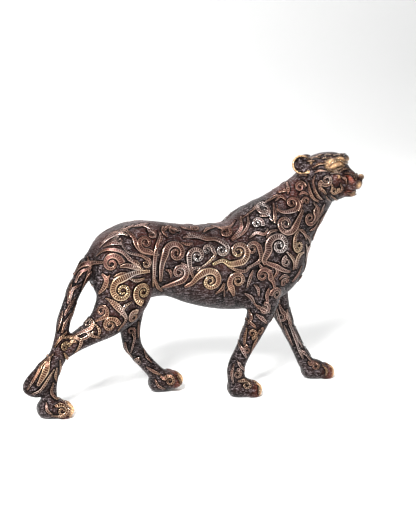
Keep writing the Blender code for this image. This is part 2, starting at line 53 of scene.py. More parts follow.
RUMP_X, CHEST_X = -101.0, 108.0
RUMP_TOP, BACK_DIP, WITHERS_TOP = 170.0, 163.0, 171.0
GROIN_LOW, BELLY_LOW = 98.0, 81.0
RUMP_HALF_WIDTH, WAIST_HALF_WIDTH, RIB_HALF_WIDTH = 27.0, 25.0, 28.0
NECK_HALF_WIDTH, NECK_HALF_DEPTH = 18.0, 26.0
HEAD_X, CROWN_TOP, JAW_LOW = 103.4, 227.3, 180.3
HIP_X, HIP_HEIGHT = -69.0, 137.0
SHOULDER_X, SHOULDER_HEIGHT = 72.0, 136.0


def smooth_rows(rows, steps):
    """Rows of numbers are stations along a form: a smooth (Catmull-Rom) curve through each column."""
    rows = np.asarray(rows, float)
    padded = np.vstack([2 * rows[0] - rows[1], rows, 2 * rows[-1] - rows[-2]])
    out = []
    for a, b, c, d in zip(padded, padded[1:], padded[2:], padded[3:]):
        for t in np.arange(steps) / steps:
            cubic = (3 * b - a - 3 * c + d) * t**3
            out.append(0.5 * (2 * b + (c - a) * t + (2 * a - 5 * b + 4 * c - d) * t**2 + cubic))
    out.append(rows[-1])
    return np.array(out)


def skin_rings(mesh, rings):
    """Closed skin over a row of rings, each a loop of points, with a fan of faces over both ends."""
    loops = [[mesh.verts.new(Vector(point)) for point in ring] for ring in rings]
    count = len(loops[0])
    for near, far in zip(loops, loops[1:]):
        for k in range(count):
            mesh.faces.new((near[k], near[(k + 1) % count], far[(k + 1) % count], far[k]))
    for loop, flip in ((loops[0], True), (loops[-1], False)):
        tip = mesh.verts.new(sum((v.co for v in loop), Vector()) / count)
        for k in range(count):
            pair = (loop[k], loop[(k + 1) % count])
            mesh.faces.new((pair[1], pair[0], tip) if flip else (pair[0], pair[1], tip))


CAP_ANGLES = np.radians([30, 60, 80])


def limb(mesh, stations, steps=8, sides=40):
    """A tapering limb. Each station: x, y, z, half depth from the side, half width from the front."""
    rows = smooth_rows(stations, steps)
    centres, depth, width = rows[:, :3], rows[:, 3], rows[:, 4]
    tangents = np.gradient(centres, axis=0)
    tangents /= np.linalg.norm(tangents, axis=1)[:, None]
    turn = np.linspace(0, 2 * math.pi, sides, endpoint=False)

    def ring(row, past_end=0, angle=0.0):
        """The ring at a row, or past the limb's end, where rings close in to a round cap."""
        tangent = tangents[row]
        across = np.array([0.0, 1.0, 0.0])
        across -= tangent * across.dot(tangent)
        across /= np.linalg.norm(across)
        along = np.cross(tangent, across)
        reach = past_end * min(depth[row], width[row]) * math.sin(angle)
        deep = np.cos(turn) * (depth[row] * math.cos(angle))
        wide = np.sin(turn) * (width[row] * math.cos(angle))
        return centres[row] + tangent * reach + np.outer(deep, along) + np.outer(wide, across)

    rings = [ring(0, -1, angle) for angle in CAP_ANGLES[::-1]]
    rings += [ring(row) for row in range(len(rows))]
    rings += [ring(-1, 1, angle) for angle in CAP_ANGLES]
    skin_rings(mesh, rings)


def barrel(mesh, stations, squareness, steps=8, sides=48):
    """A form that runs along X: each station is x, y, top z, bottom z, half width."""
    rows = smooth_rows(stations, steps)
    turn = np.linspace(0, 2 * math.pi, sides, endpoint=False)
    power = 2.0 / squareness
    side = np.sign(np.cos(turn)) * np.abs(np.cos(turn)) ** power
    rise = np.sign(np.sin(turn)) * np.abs(np.sin(turn)) ** power
    rings = []
    for x, y, top, bottom, half_width in rows:
        height = (top + bottom) / 2 + rise * (top - bottom) / 2
        rings.append(np.column_stack([np.full(sides, x), y + side * half_width, height]))
    skin_rings(mesh, rings)


def ball(mesh, centre, radii, turn=(0, 0, 0)):
    """An ellipsoid, turned by three angles in degrees."""
    place = Matrix.Translation(centre)
    for angle, axis in zip(turn[::-1], "ZYX"):
        place = place @ Matrix.Rotation(math.radians(angle), 4, axis)
    place = place @ Matrix.Diagonal((*radii, 1))
    around = np.linspace(0, 2 * math.pi, 32, endpoint=False)
    rings = []
    for up in np.radians(np.arange(-84, 85, 8)):
        level = [(math.cos(a) * math.cos(up), math.sin(a) * math.cos(up), math.sin(up)) for a in around]
        rings.append([place @ Vector(point) for point in level])
    skin_rings(mesh, rings)


masses = bmesh.new()
# Share of the way from rump to chest, top, bottom, half width
TRUNK_ROWS = [
    (0.0, RUMP_TOP - 24, GROIN_LOW + 20, RUMP_HALF_WIDTH - 17),
    (0.024, RUMP_TOP - 17, GROIN_LOW + 10, RUMP_HALF_WIDTH - 9),
    (0.072, RUMP_TOP - 9, GROIN_LOW + 3, RUMP_HALF_WIDTH - 3),
    (0.158, RUMP_TOP - 1.5, GROIN_LOW, RUMP_HALF_WIDTH),
    (0.244, RUMP_TOP, GROIN_LOW, RUMP_HALF_WIDTH),
    (0.33, (RUMP_TOP * 2 + BACK_DIP) / 3, GROIN_LOW + 1, (RUMP_HALF_WIDTH + WAIST_HALF_WIDTH) / 2),
    (0.426, BACK_DIP + 1.5, (GROIN_LOW + BELLY_LOW * 1.6) / 2.6 + 3.5, WAIST_HALF_WIDTH),
    (0.522, BACK_DIP, BELLY_LOW + 4, (WAIST_HALF_WIDTH * 2 + RIB_HALF_WIDTH) / 3),
    (0.617, BACK_DIP + 1.5, BELLY_LOW + 0.5, RIB_HALF_WIDTH - 0.5),
    (0.713, WITHERS_TOP - 3, BELLY_LOW, RIB_HALF_WIDTH),
    (0.809, WITHERS_TOP, BELLY_LOW + 2.5, RIB_HALF_WIDTH - 0.5),
    (0.895, WITHERS_TOP - 3, BELLY_LOW + 10, RIB_HALF_WIDTH - 3),
    (0.957, WITHERS_TOP - 13, BELLY_LOW + 21, RIB_HALF_WIDTH - 8),
    (1.0, WITHERS_TOP - 27, BELLY_LOW + 33, RIB_HALF_WIDTH - 18),
]
trunk = [(RUMP_X + share * (CHEST_X - RUMP_X), 0, *row) for share, *row in TRUNK_ROWS]
barrel(masses, trunk, squareness=2.3)

# Share of the way up the neck, rise over the straight line, what half depth and half width gain
neck_start = Vector((SHOULDER_X - 14, 0, WITHERS_TOP - 38))
neck_end = Vector((HEAD_X + 19, 0, CROWN_TOP - 27.5))
neck_stations = []
for share, rise, deep, wide in [
    (0.0, 0.0, 16, 8),
    (0.31, -3.2, 14.5, 8),
    (0.578, -3.4, 5.2, 3.5),
    (0.75, -4.0, 1.0, 1),
    (0.89, -3.5, -2.0, 0),
    (1.0, -2.0, -5.0, 0),
]:
    place = neck_start.lerp(neck_end, share)
    neck_stations.append((place.x, 0, place.z + rise, NECK_HALF_DEPTH + deep, NECK_HALF_WIDTH + wide))
limb(masses, neck_stations)

# Shoulder blades, of which the right one has sunk in the stride, then shoulders and haunches
for side, sunk in ((-1, 5), (1, 0)):
    ball(masses, (SHOULDER_X - 22, side * 13, WITHERS_TOP - 13 - sunk), (24, 8, 17), (0, -32, 0))
    ball(masses, (SHOULDER_X - 4, side * 18, SHOULDER_HEIGHT - 1), (28, 11, 36), (0, 12, 0))
for side, ahead in ((-1, -4), (1, 3)):
    ball(masses, (HIP_X + ahead, side * 15.5, HIP_HEIGHT - 9), (29, 13.5, 33))

# Legs and paws. Solid brass in the real casting, in a long stride with all four soles down and four knuckled
# toes to a paw. Each leg is a limb that bends about a straight line from its joint to its ankle.

ANKLE_HEIGHT = 16.0
HIND_STAND_X, STRIDE_HIND, HIND_TRACK = -88.5, 115.0, 44.0
FORE_STAND_X, STRIDE_FORE, FORE_TRACK = 77.0, 86.0, 34.0
LEG_APART, HIP_HALF_WIDTH, SHOULDER_HALF_WIDTH = 3.0, 17.0, 18.0
SPREAD_PACE = 2.4
PAW_LENGTH, PAW_HALF_WIDTH, PAW_HEIGHT, TOE_WIDTH, SOLE_CUT = 32.0, 12.0, 19.0, 6.2, 1.5

ANKLES = {
    "right_hind": (HIND_STAND_X - STRIDE_HIND / 2, -HIND_TRACK / 2, ANKLE_HEIGHT),
    "left_hind": (HIND_STAND_X + STRIDE_HIND / 2, HIND_TRACK / 2, ANKLE_HEIGHT),
    "right_fore": (FORE_STAND_X - STRIDE_FORE / 2, -FORE_TRACK / 2, ANKLE_HEIGHT),
    "left_fore": (FORE_STAND_X + STRIDE_FORE / 2, FORE_TRACK / 2, ANKLE_HEIGHT),
}
# How far the heel lies behind the ankle, how far the toes are lifted
PAW_POSES = {
    "right_hind": (11.0, 0.0),
    "left_hind": (9.0, 5.0),
    "right_fore": (8.0, 0.0),
    "left_fore": (4.0, 0.0),
}
# Share of the way down, bend forward of the straight line, half depth, half width
LEG_ROWS = {
    "right_hind": [
        (0.0, 0.0, 26, 12),
        (0.174, 9.9, 29, 13),
        (0.314, 15.2, 24, 12.5),
        (0.438, 11.4, 16.5, 11),
        (0.521, 2.6, 11, 9),
        (0.595, -8.0, 8.5, 7.5),
        (0.669, -14.5, 8, 7),
        (0.793, -10.8, 6, 6),
        (0.909, -5.2, 6, 6.5),
        (1.0, 0.0, 8, 8.5),
    ],
    "left_hind": [
        (0.0, 0.0, 26, 12),
        (0.213, -3.5, 25, 13),
        (0.41, -6.3, 15.5, 11),
        (0.59, -12.7, 10.5, 9),
        (0.73, -15.5, 9, 8),
        (0.836, -11.3, 7.5, 7),
        (0.934, -4.7, 7.5, 7.5),
        (1.0, 0.0, 8, 8),
    ],
    "right_fore": [
        (0.0, 0.0, 22, 10),
        (0.203, 2.3, 19, 11),
        (0.407, 5.7, 14.5, 10.5),
        (0.542, 4.5, 11.8, 9.5),
        (0.669, 2.1, 9.5, 8.2),
        (0.78, -1.4, 8.2, 7.4),
        (0.89, -3.5, 8.8, 7.4),
        (1.0, 0.0, 8.5, 8.5),
    ],
    "left_fore": [
        (0.0, 0.0, 20, 10),
        (0.198, -3.0, 16, 11),
        (0.397, -5.3, 12.2, 10),
        (0.562, -6.6, 9, 9),
        (0.694, -5.4, 7, 7.5),
        (0.81, -3.8, 6.4, 7),
        (0.926, -1.6, 7, 7.5),
        (1.0, 0.0, 8, 8.5),
    ],
}
# Share of the way from heel to toes, share of the height, share of the half width, rise of the sole
PAW_ROWS = [
    (0.0, 0.66, 0.55, 5.0),
    (0.14, 0.92, 0.82, 1.5),
    (0.38, 1.0, 1.0, 0.0),
    (0.62, 0.88, 1.03, 0.0),
    (0.8, 0.62, 0.9, 0.5),
    (0.9, 0.4, 0.7, 2.0),
]

leg_tops = {}
for name, ankle in ANKLES.items():
    ahead = LEG_APART if name.startswith("left") else -LEG_APART
    x, apart, z = SHOULDER_X, SHOULDER_HALF_WIDTH, SHOULDER_HEIGHT
    if name.endswith("hind"):
        x, apart, z = HIP_X, HIP_HALF_WIDTH, HIP_HEIGHT
    leg_tops[name] = (x + ahead, z)
    stations = []
    for share, bend, depth, width in LEG_ROWS[name]:
        place = Vector((x + ahead, 0, z)).lerp(Vector(ankle), share)
        spread = apart + (abs(ankle[1]) - apart) * min(1.0, SPREAD_PACE * share)
        stations.append((place.x + bend, math.copysign(spread, ankle[1]), place.z, depth, width))
    limb(masses, stations)
    heel, lift = PAW_POSES[name]
    stations = []
    for share, tall, wide, rise in PAW_ROWS:
        low = lift * share
        sole = low + rise - SOLE_CUT
        x = ankle[0] - heel + share * PAW_LENGTH
        stations.append((x, ankle[1], low + PAW_HEIGHT * tall, sole, PAW_HALF_WIDTH * wide))
    barrel(masses, stations, squareness=2.1)


def toes(mesh):
    """Four toes to a paw, the middle two in front of the outer two."""
    for name, ankle in ANKLES.items():
        heel, lift = PAW_POSES[name]
        for k, back in ((-1.5, 10.7), (-0.5, 7.5), (0.5, 7.5), (1.5, 10.7)):
            middle = (ankle[0] - heel + PAW_LENGTH - back, ankle[1] + k * TOE_WIDTH, 6.6 + lift)
            ball(mesh, middle, (9.0, TOE_WIDTH * 0.56, 7.2), (0, 16, k * 7))


# Tail. It falls from the rump in one slow bend and ends in a flat tuft, which is cast against the lower right
# hind leg so that the thin rod can't be bent off.

TAIL_RADIUS, TUFT_HALF_DEPTH = 6.3, 11.0
TAIL_END_X, TAIL_END_HEIGHT, TAIL_SWING = -161.0, 27.0, 26.0

tail_root = Vector((RUMP_X + 11, 0, RUMP_TOP - 28))
tail_end = Vector((TAIL_END_X, 0, TAIL_END_HEIGHT))
tail_stations = []
# Share of the way down, bend off the straight line, half depth, half width
for share, bend, depth, width in [
    (0.0, 0.0, TAIL_RADIUS * 1.9, TAIL_RADIUS * 1.75),
    (0.087, -5.0, TAIL_RADIUS * 1.4, TAIL_RADIUS * 1.4),
    (0.2, -7.8, TAIL_RADIUS * 1.15, TAIL_RADIUS * 1.15),
    (0.322, -8.0, TAIL_RADIUS * 1.03, TAIL_RADIUS * 1.03),
    (0.47, -5.6, TAIL_RADIUS, TAIL_RADIUS),
    (0.635, 0.0, TAIL_RADIUS, TAIL_RADIUS),
    (0.757, 2.2, TAIL_RADIUS * 0.95, TAIL_RADIUS),
    (0.852, -0.4, TUFT_HALF_DEPTH - 2.6, TAIL_RADIUS * 1.05),
    (0.948, -1.0, TUFT_HALF_DEPTH, TAIL_RADIUS * 1.1),
    (1.0, 0.0, TUFT_HALF_DEPTH, TAIL_RADIUS * 0.95),
]:
    place = tail_root.lerp(tail_end, share)
    swing = min(1.0, share / 0.8)
    aside = -TAIL_SWING * swing * swing * (3 - 2 * swing)
    tail_stations.append((place.x + bend, aside, place.z, depth, width))
limb(masses, tail_stations)

# Head. Turned to the animal's right, with round cupped ears, heavy brows, almond eyes, a polished nose,
# whisker pads and an open mouth. The parts are set on a head that looks ahead, then turned with it.

HEAD_LENGTH, SKULL_HALF_WIDTH, MUZZLE_HALF_WIDTH = 60.0, 22.0, 11.0
HEAD_TURN, HEAD_TILT = 31.0, 5.0
EAR_RADIUS, EAR_DEPTH, EAR_WALL, EAR_APART = 9.5, 8.0, 2.2, 40.0
EAR_FACING = (0.35, 0.9, 0.25)

head_pivot = Vector((HEAD_X + 9, 0, (CROWN_TOP + JAW_LOW) / 2))
head_spin = Matrix.Rotation(math.radians(-HEAD_TURN), 3, "Z")
head_spin = head_spin @ Matrix.Rotation(math.radians(-HEAD_TILT), 3, "X")


def turned_head(mesh, build):
    """Builds parts of the head looking straight ahead, then turns them with it."""
    known = set(mesh.verts)
    build(mesh)
    bmesh.ops.rotate(mesh, cent=head_pivot, matrix=head_spin, verts=[v for v in mesh.verts if v not in known])


def skull(mesh):
    """Each row: share of the way from nape to nose, drop of the top, rise of the jaw, half width."""
    stations = []
    for share, drop, rise, width in [
        (0.0, 14.0, 11.0, SKULL_HALF_WIDTH - 10),
        (0.123, 6.3, 3.7, SKULL_HALF_WIDTH - 3),
        (0.293, 1.5, 0.5, SKULL_HALF_WIDTH),
        (0.477, 0.0, 0.0, SKULL_HALF_WIDTH),
        (0.615, 1.0, 1.6, (SKULL_HALF_WIDTH + MUZZLE_HALF_WIDTH) / 2 + 2),
        (0.7, 5.0, 3.4, MUZZLE_HALF_WIDTH + 3.5),
        (0.76, 11.5, 5.4, MUZZLE_HALF_WIDTH + 1.5),
        (0.815, 15.6, 7.0, MUZZLE_HALF_WIDTH + 0.5),
        (0.923, 20.6, 11.0, MUZZLE_HALF_WIDTH - 1.5),
        (1.0, 24.5, 15.0, MUZZLE_HALF_WIDTH - 5),
    ]:
        stations.append((HEAD_X + share * HEAD_LENGTH, 0, CROWN_TOP - drop, JAW_LOW + rise, width))
    barrel(mesh, stations, squareness=2.3)
    for side in (-1, 1):
        ball(mesh, (HEAD_X + 8, side * (EAR_APART / 2 - 9), CROWN_TOP - 14), (9, 8, 8))


def ear_place(side):
    """Middle of an ear's rim and the way that it faces, on the head that looks ahead."""
    middle = Vector((HEAD_X + 5.5, side * EAR_APART / 2, CROWN_TOP - 12))
    return middle, Vector((EAR_FACING[0], side * EAR_FACING[1], EAR_FACING[2]))


def ears(mesh):
    """Round cupped ears, turned in profile: back, outside of the cup, rolled rim, inside of the cup."""
    inner = EAR_RADIUS - EAR_WALL
    floor = -EAR_DEPTH * 0.45
    profile = [
        (EAR_RADIUS * 0.62, -EAR_DEPTH),
        (EAR_RADIUS * 0.86, -EAR_DEPTH * 0.6),
        (EAR_RADIUS, -EAR_WALL * 0.9),
        (EAR_RADIUS - EAR_WALL * 0.12, -EAR_WALL * 0.2),
        (EAR_RADIUS - EAR_WALL * 0.5, 0.0),
        (inner + EAR_WALL * 0.1, -EAR_WALL * 0.3),
        (inner, -EAR_WALL),
        (inner * 0.86, floor * 0.9),
        (inner * 0.5, floor),
    ]
    turn = np.linspace(0, 2 * math.pi, 48, endpoint=False)
    for side in (-1, 1):
        middle, way = ear_place(side)
        facing = way.to_track_quat("Z", "Y").to_matrix()
        rings = []
        for radius, height in profile:
            level = [(radius * math.cos(a), radius * math.sin(a), height) for a in turn]
            rings.append([middle + facing @ Vector(point) for point in level])
        skin_rings(mesh, rings)


def face(mesh):
    """On the skull, for each side: outer and inner brow, eye, whisker pad, upper lip. Then nose and chin."""
    for side in (-1, 1):
        ball(mesh, (HEAD_X + 36, side * 14.5, CROWN_TOP - 11), (9.5, 4.8, 5), (0, 8, side * -26))
        ball(mesh, (HEAD_X + 40, side * 8.5, CROWN_TOP - 6), (6.5, 6, 4.5), (0, 12, side * -24))
        ball(mesh, (HEAD_X + 37.5, side * 17, CROWN_TOP - 24), (4.2, 2.6, 4.4), (0, 0, side * -20))
        ball(mesh, (HEAD_X + 50, side * 10.2, CROWN_TOP - 25.5), (6.0, 5.0, 5.6))
        ball(mesh, (HEAD_X + 54, side * 4.0, CROWN_TOP - 29.5), (4.5, 4.5, 5))
    ball(mesh, (HEAD_X + HEAD_LENGTH - 1.5, 0, CROWN_TOP - 23), (3.2, 4.4, 3.0))
    ball(mesh, (HEAD_X + 47, 0, JAW_LOW + 8.5), (8, 6.5, 3.8))


turned_head(masses, skull)

# The skin of the casting. All the masses run into one skin, as they do in the wax that such a figure is
# cast from: a coarse remesh with much softening blends them, and a fine one takes the ears, face and toes.

MM = 0.001
BLEND_VOXEL, BLEND_ROUNDS = 1.6, 12
FINE_VOXEL, FINE_ROUNDS = 0.75, 6


def placed(name, data):
    """A new object of a mesh, a lamp or a camera, in the scene."""
    obj = bpy.data.objects.new(name, data)
    bpy.context.scene.collection.objects.link(obj)
    return obj


def mesh_object(name, shape):
    """The same of a shape that is still being worked, which is then done with."""
    data = bpy.data.meshes.new(name)
    shape.to_mesh(data)
    shape.free()
    return placed(name, data)


def shade_smooth(obj):
    """Shading runs smoothly over an object's faces."""
    obj.data.polygons.foreach_set("use_smooth", [True] * len(obj.data.polygons))


def plain_copy(obj, name):
    """What an object's modifiers make, as a plain mesh object, and the first object goes."""
    depsgraph = bpy.context.evaluated_depsgraph_get()
    data = bpy.data.meshes.new_from_object(
        obj.evaluated_get(depsgraph), preserve_all_data_layers=True, depsgraph=depsgraph
    )
    bpy.data.objects.remove(obj)
    data.name = name
    return placed(name, data)


def fused(shape, voxel, rounds, name):
    """One skin over masses that pass through each other, softened where they meet."""
    bmesh.ops.recalc_face_normals(shape, faces=shape.faces[:])
    obj = mesh_object("masses", shape)
    remesh = obj.modifiers.new("Fuse", "REMESH")
    remesh.mode = "VOXEL"
    remesh.voxel_size = voxel
    smooth = obj.modifiers.new("Soften", "SMOOTH")
    smooth.factor = 0.5
    smooth.iterations = rounds
    return plain_copy(obj, name)


blended = fused(masses, BLEND_VOXEL, BLEND_ROUNDS, "blended")
detailed = bmesh.new()
detailed.from_mesh(blended.data)
bpy.data.objects.remove(blended)
turned_head(detailed, ears)
turned_head(detailed, face)
toes(detailed)
casting = fused(detailed, FINE_VOXEL, FINE_ROUNDS, "leopard_casting")


def rows_of(collection, field):
    """A vector of each item, such as the place of each point of a mesh, as rows of an array."""
    flat = np.empty(len(collection) * 3)
    collection.foreach_get(field, flat)
    return flat.reshape(-1, 3)


skin_points = rows_of(casting.data.vertices, "co")
skin = BVHTree.FromPolygons(skin_points.tolist(), [tuple(face.vertices) for face in casting.data.polygons])
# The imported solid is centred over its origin, so the scene's pieces move by as much
CENTRE = Vector((*((skin_points.min(axis=0) + skin_points.max(axis=0)) / 2)[:2], 0))

# The carved coat. In the wax, bands with a raised rim on both sides were laid on the skin and wound into
# scrolls, with fine ribs pressed across them. Each row is drawn over a template of the animal from its right,
# laid on the skin, and swept by one Geometry Nodes tree, which also sets the ribs and the bead in each eye.

# A scroll's band: half width as a share of the radius, turns, what a turn leaves of the radius, points
BAND_SHARE, SCROLL_TURNS, SCROLL_TIGHTNESS, SCROLL_POINTS = 0.31, 1.6, 0.36, 22
# A scroll of no size would have this share of the turns, and one that gains this radius has a whole more
SMALLEST_SHARE, GROWTH_RADIUS = 0.55, 24.0
# What a stem loses of its width, and what a leaf keeps at its tips
STEM_TAPER, TIP_SHARE = 0.65, 0.4
RING_STEP, BAND_LIFT, FARTHEST_STEP = 0.75, 0.25, 6.0
RIB_STEP, RIB_THICKNESS, SMALLEST_RIBBED = 1.9, 0.95, 0.75
# Shares of the band's half width: length, height, rise and pinched top of a rib, bead, depth under the skin
RIB_LENGTH, RIB_HEIGHT, RIB_RISE, RIB_PINCH = 1.76, 0.4, 0.3, 0.3
BEAD_RADIUS, BAND_UNDERSIDE = 1.3, -0.55

# The template's lines through trunk, neck and legs
TEMPLATE = {
    "trunk": ((-101, 125), (108, 125)),
    "neck": ((58, 133), (122, 200)),
    "right_hind": ((-72, 137), (-146, 16)),
    "left_hind": ((-66, 137), (-31, 16)),
    "right_fore": ((69, 136), (34, 16)),
    "left_fore": ((75, 136), (120, 16)),
}
template_lines = {
    "trunk": ((RUMP_X, (RUMP_TOP + BELLY_LOW) / 2), (CHEST_X, (RUMP_TOP + BELLY_LOW) / 2)),
    "neck": (neck_start.xz, neck_end.xz),
}
for name, ankle in ANKLES.items():
    template_lines[name] = (leg_tops[name], (ankle[0], ankle[2]))

# Middle along and above the template, half width, angle at which the band leaves, way that it winds inwards
# (1 is anticlockwise seen from the right), points along its stem
SCROLLS = {
    "trunk": [
        (-79.5, 115, 11.5, 90, 1, [(-67, 128), (-53, 128)]), (-60, 108, 10.5, -100, -1, []),
        (-86, 137, 9.5, 0, 1, []), (-56, 136, 5.0, 90, -1, [(-60, 142.5), (-72, 146), (-77, 152)]),
        (-55, 152, 8.3, -80, -1, [(-50, 144), (-44, 142)]), (-49, 160.5, 5.0, 120, -1, []),
        (-79, 157, 4.5, 100, 1, [(-86, 155)]), (-29.5, 142.5, 11.0, 180, -1, [(-41.5, 132), (-42, 118)]),
        (-24, 123, 9.0, -75, 1, [(-33, 113), (-40, 111)]),
        (-8.5, 138, 8.5, 190, -1, [(-14, 128), (-11, 119)]),
        (4.5, 143, 5.5, -10, 1, [(10, 138), (3, 131.5), (-7, 124.5)]),
        (17.5, 143.5, 6.8, 60, -1, [(12, 152), (4, 152), (-5, 154.5), (-16, 155)]),
        (33, 138.5, 10.5, -80, 1, [(24, 129.5), (17, 133), (8, 130)]),
        (4, 116, 11.5, 130, -1, [(-7, 119), (-12, 113.5), (-18, 110.5)]),
        (30.5, 112, 9.5, 230, -1, [(29, 99)]),
        (47.5, 142, 7.2, 0, 1, [(54, 133), (49, 128.5), (40, 124.5)]),
        (69.5, 143, 12.3, 200, -1, [(57, 132), (58, 127)]),
        (57.5, 116, 8.0, -20, 1, [(66, 110), (68, 103)]), (79.5, 129, 5.5, 100, 1, []),
        (92.5, 142, 7.0, 150, 1, [(89, 150), (93, 156)]), (-26, 161, 5.0, 0, 1, []),
        (-4, 161, 4.5, 180, -1, []), (24, 158, 6.0, 30, -1, []), (54, 164, 6.0, -30, 1, []),
        (113, 132, 6.0, 90, 1, [(110, 122), (104, 113)]), (116, 147, 5.0, -90, -1, [(118, 155)]),
        (104, 104, 5.0, 100, -1, []),
    ],
    "neck": [
        (61, 178, 6.5, 150, 1, []), (81.5, 163, 10.5, -20, -1, [(94, 168), (98, 175)]),
        (88, 180.5, 7.5, -90, 1, [(79, 174), (73, 177)]), (107, 168, 8.5, 45, -1, [(113, 177)]),
        (101.5, 183, 4.2, 200, -1, []), (99, 196, 6.0, 0, 1, []), (123, 163, 5.0, 90, 1, [(127, 171)]),
    ],
    "right_hind": [
        (-98, 95, 6.5, -60, 1, [(-104, 87)]), (-90, 83, 8.0, 0, 1, []), (-68, 89, 6.5, 60, 1, []),
        (-110, 84, 6.0, -90, 1, [(-119, 76), (-127, 72)]), (-131.5, 66, 4.4, 40, 1, []),
        (-137.5, 9.5, 6.3, 120, -1, [(-143, 13)]),
    ],
    "right_fore": [
        (79, 108, 5.0, 0, 1, []), (69, 98, 7.0, 180, -1, []), (58, 86, 6.0, 90, -1, []),
        (47, 61, 5.0, -90, 1, []), (55, 64, 3.8, 60, -1, []), (42.5, 47, 4.2, 90, 1, []),
        (32.5, 24.5, 4.8, 90, -1, []), (40, 14, 5.5, 120, -1, [(33, 17)]),
    ],
    "left_hind": [
        (-59, 63, 4.5, -60, 1, [(-56, 57), (-58, 48), (-59, 42)]), (-51.5, 33, 4.5, 90, 1, []),
        (-24, 13, 6.0, 150, -1, [(-31, 17)]),
    ],
    "left_fore": [
        (90, 67.5, 6.0, 80, -1, [(87, 80)]), (125, 14.5, 5.5, 150, -1, [(119, 19)]),
    ],
}

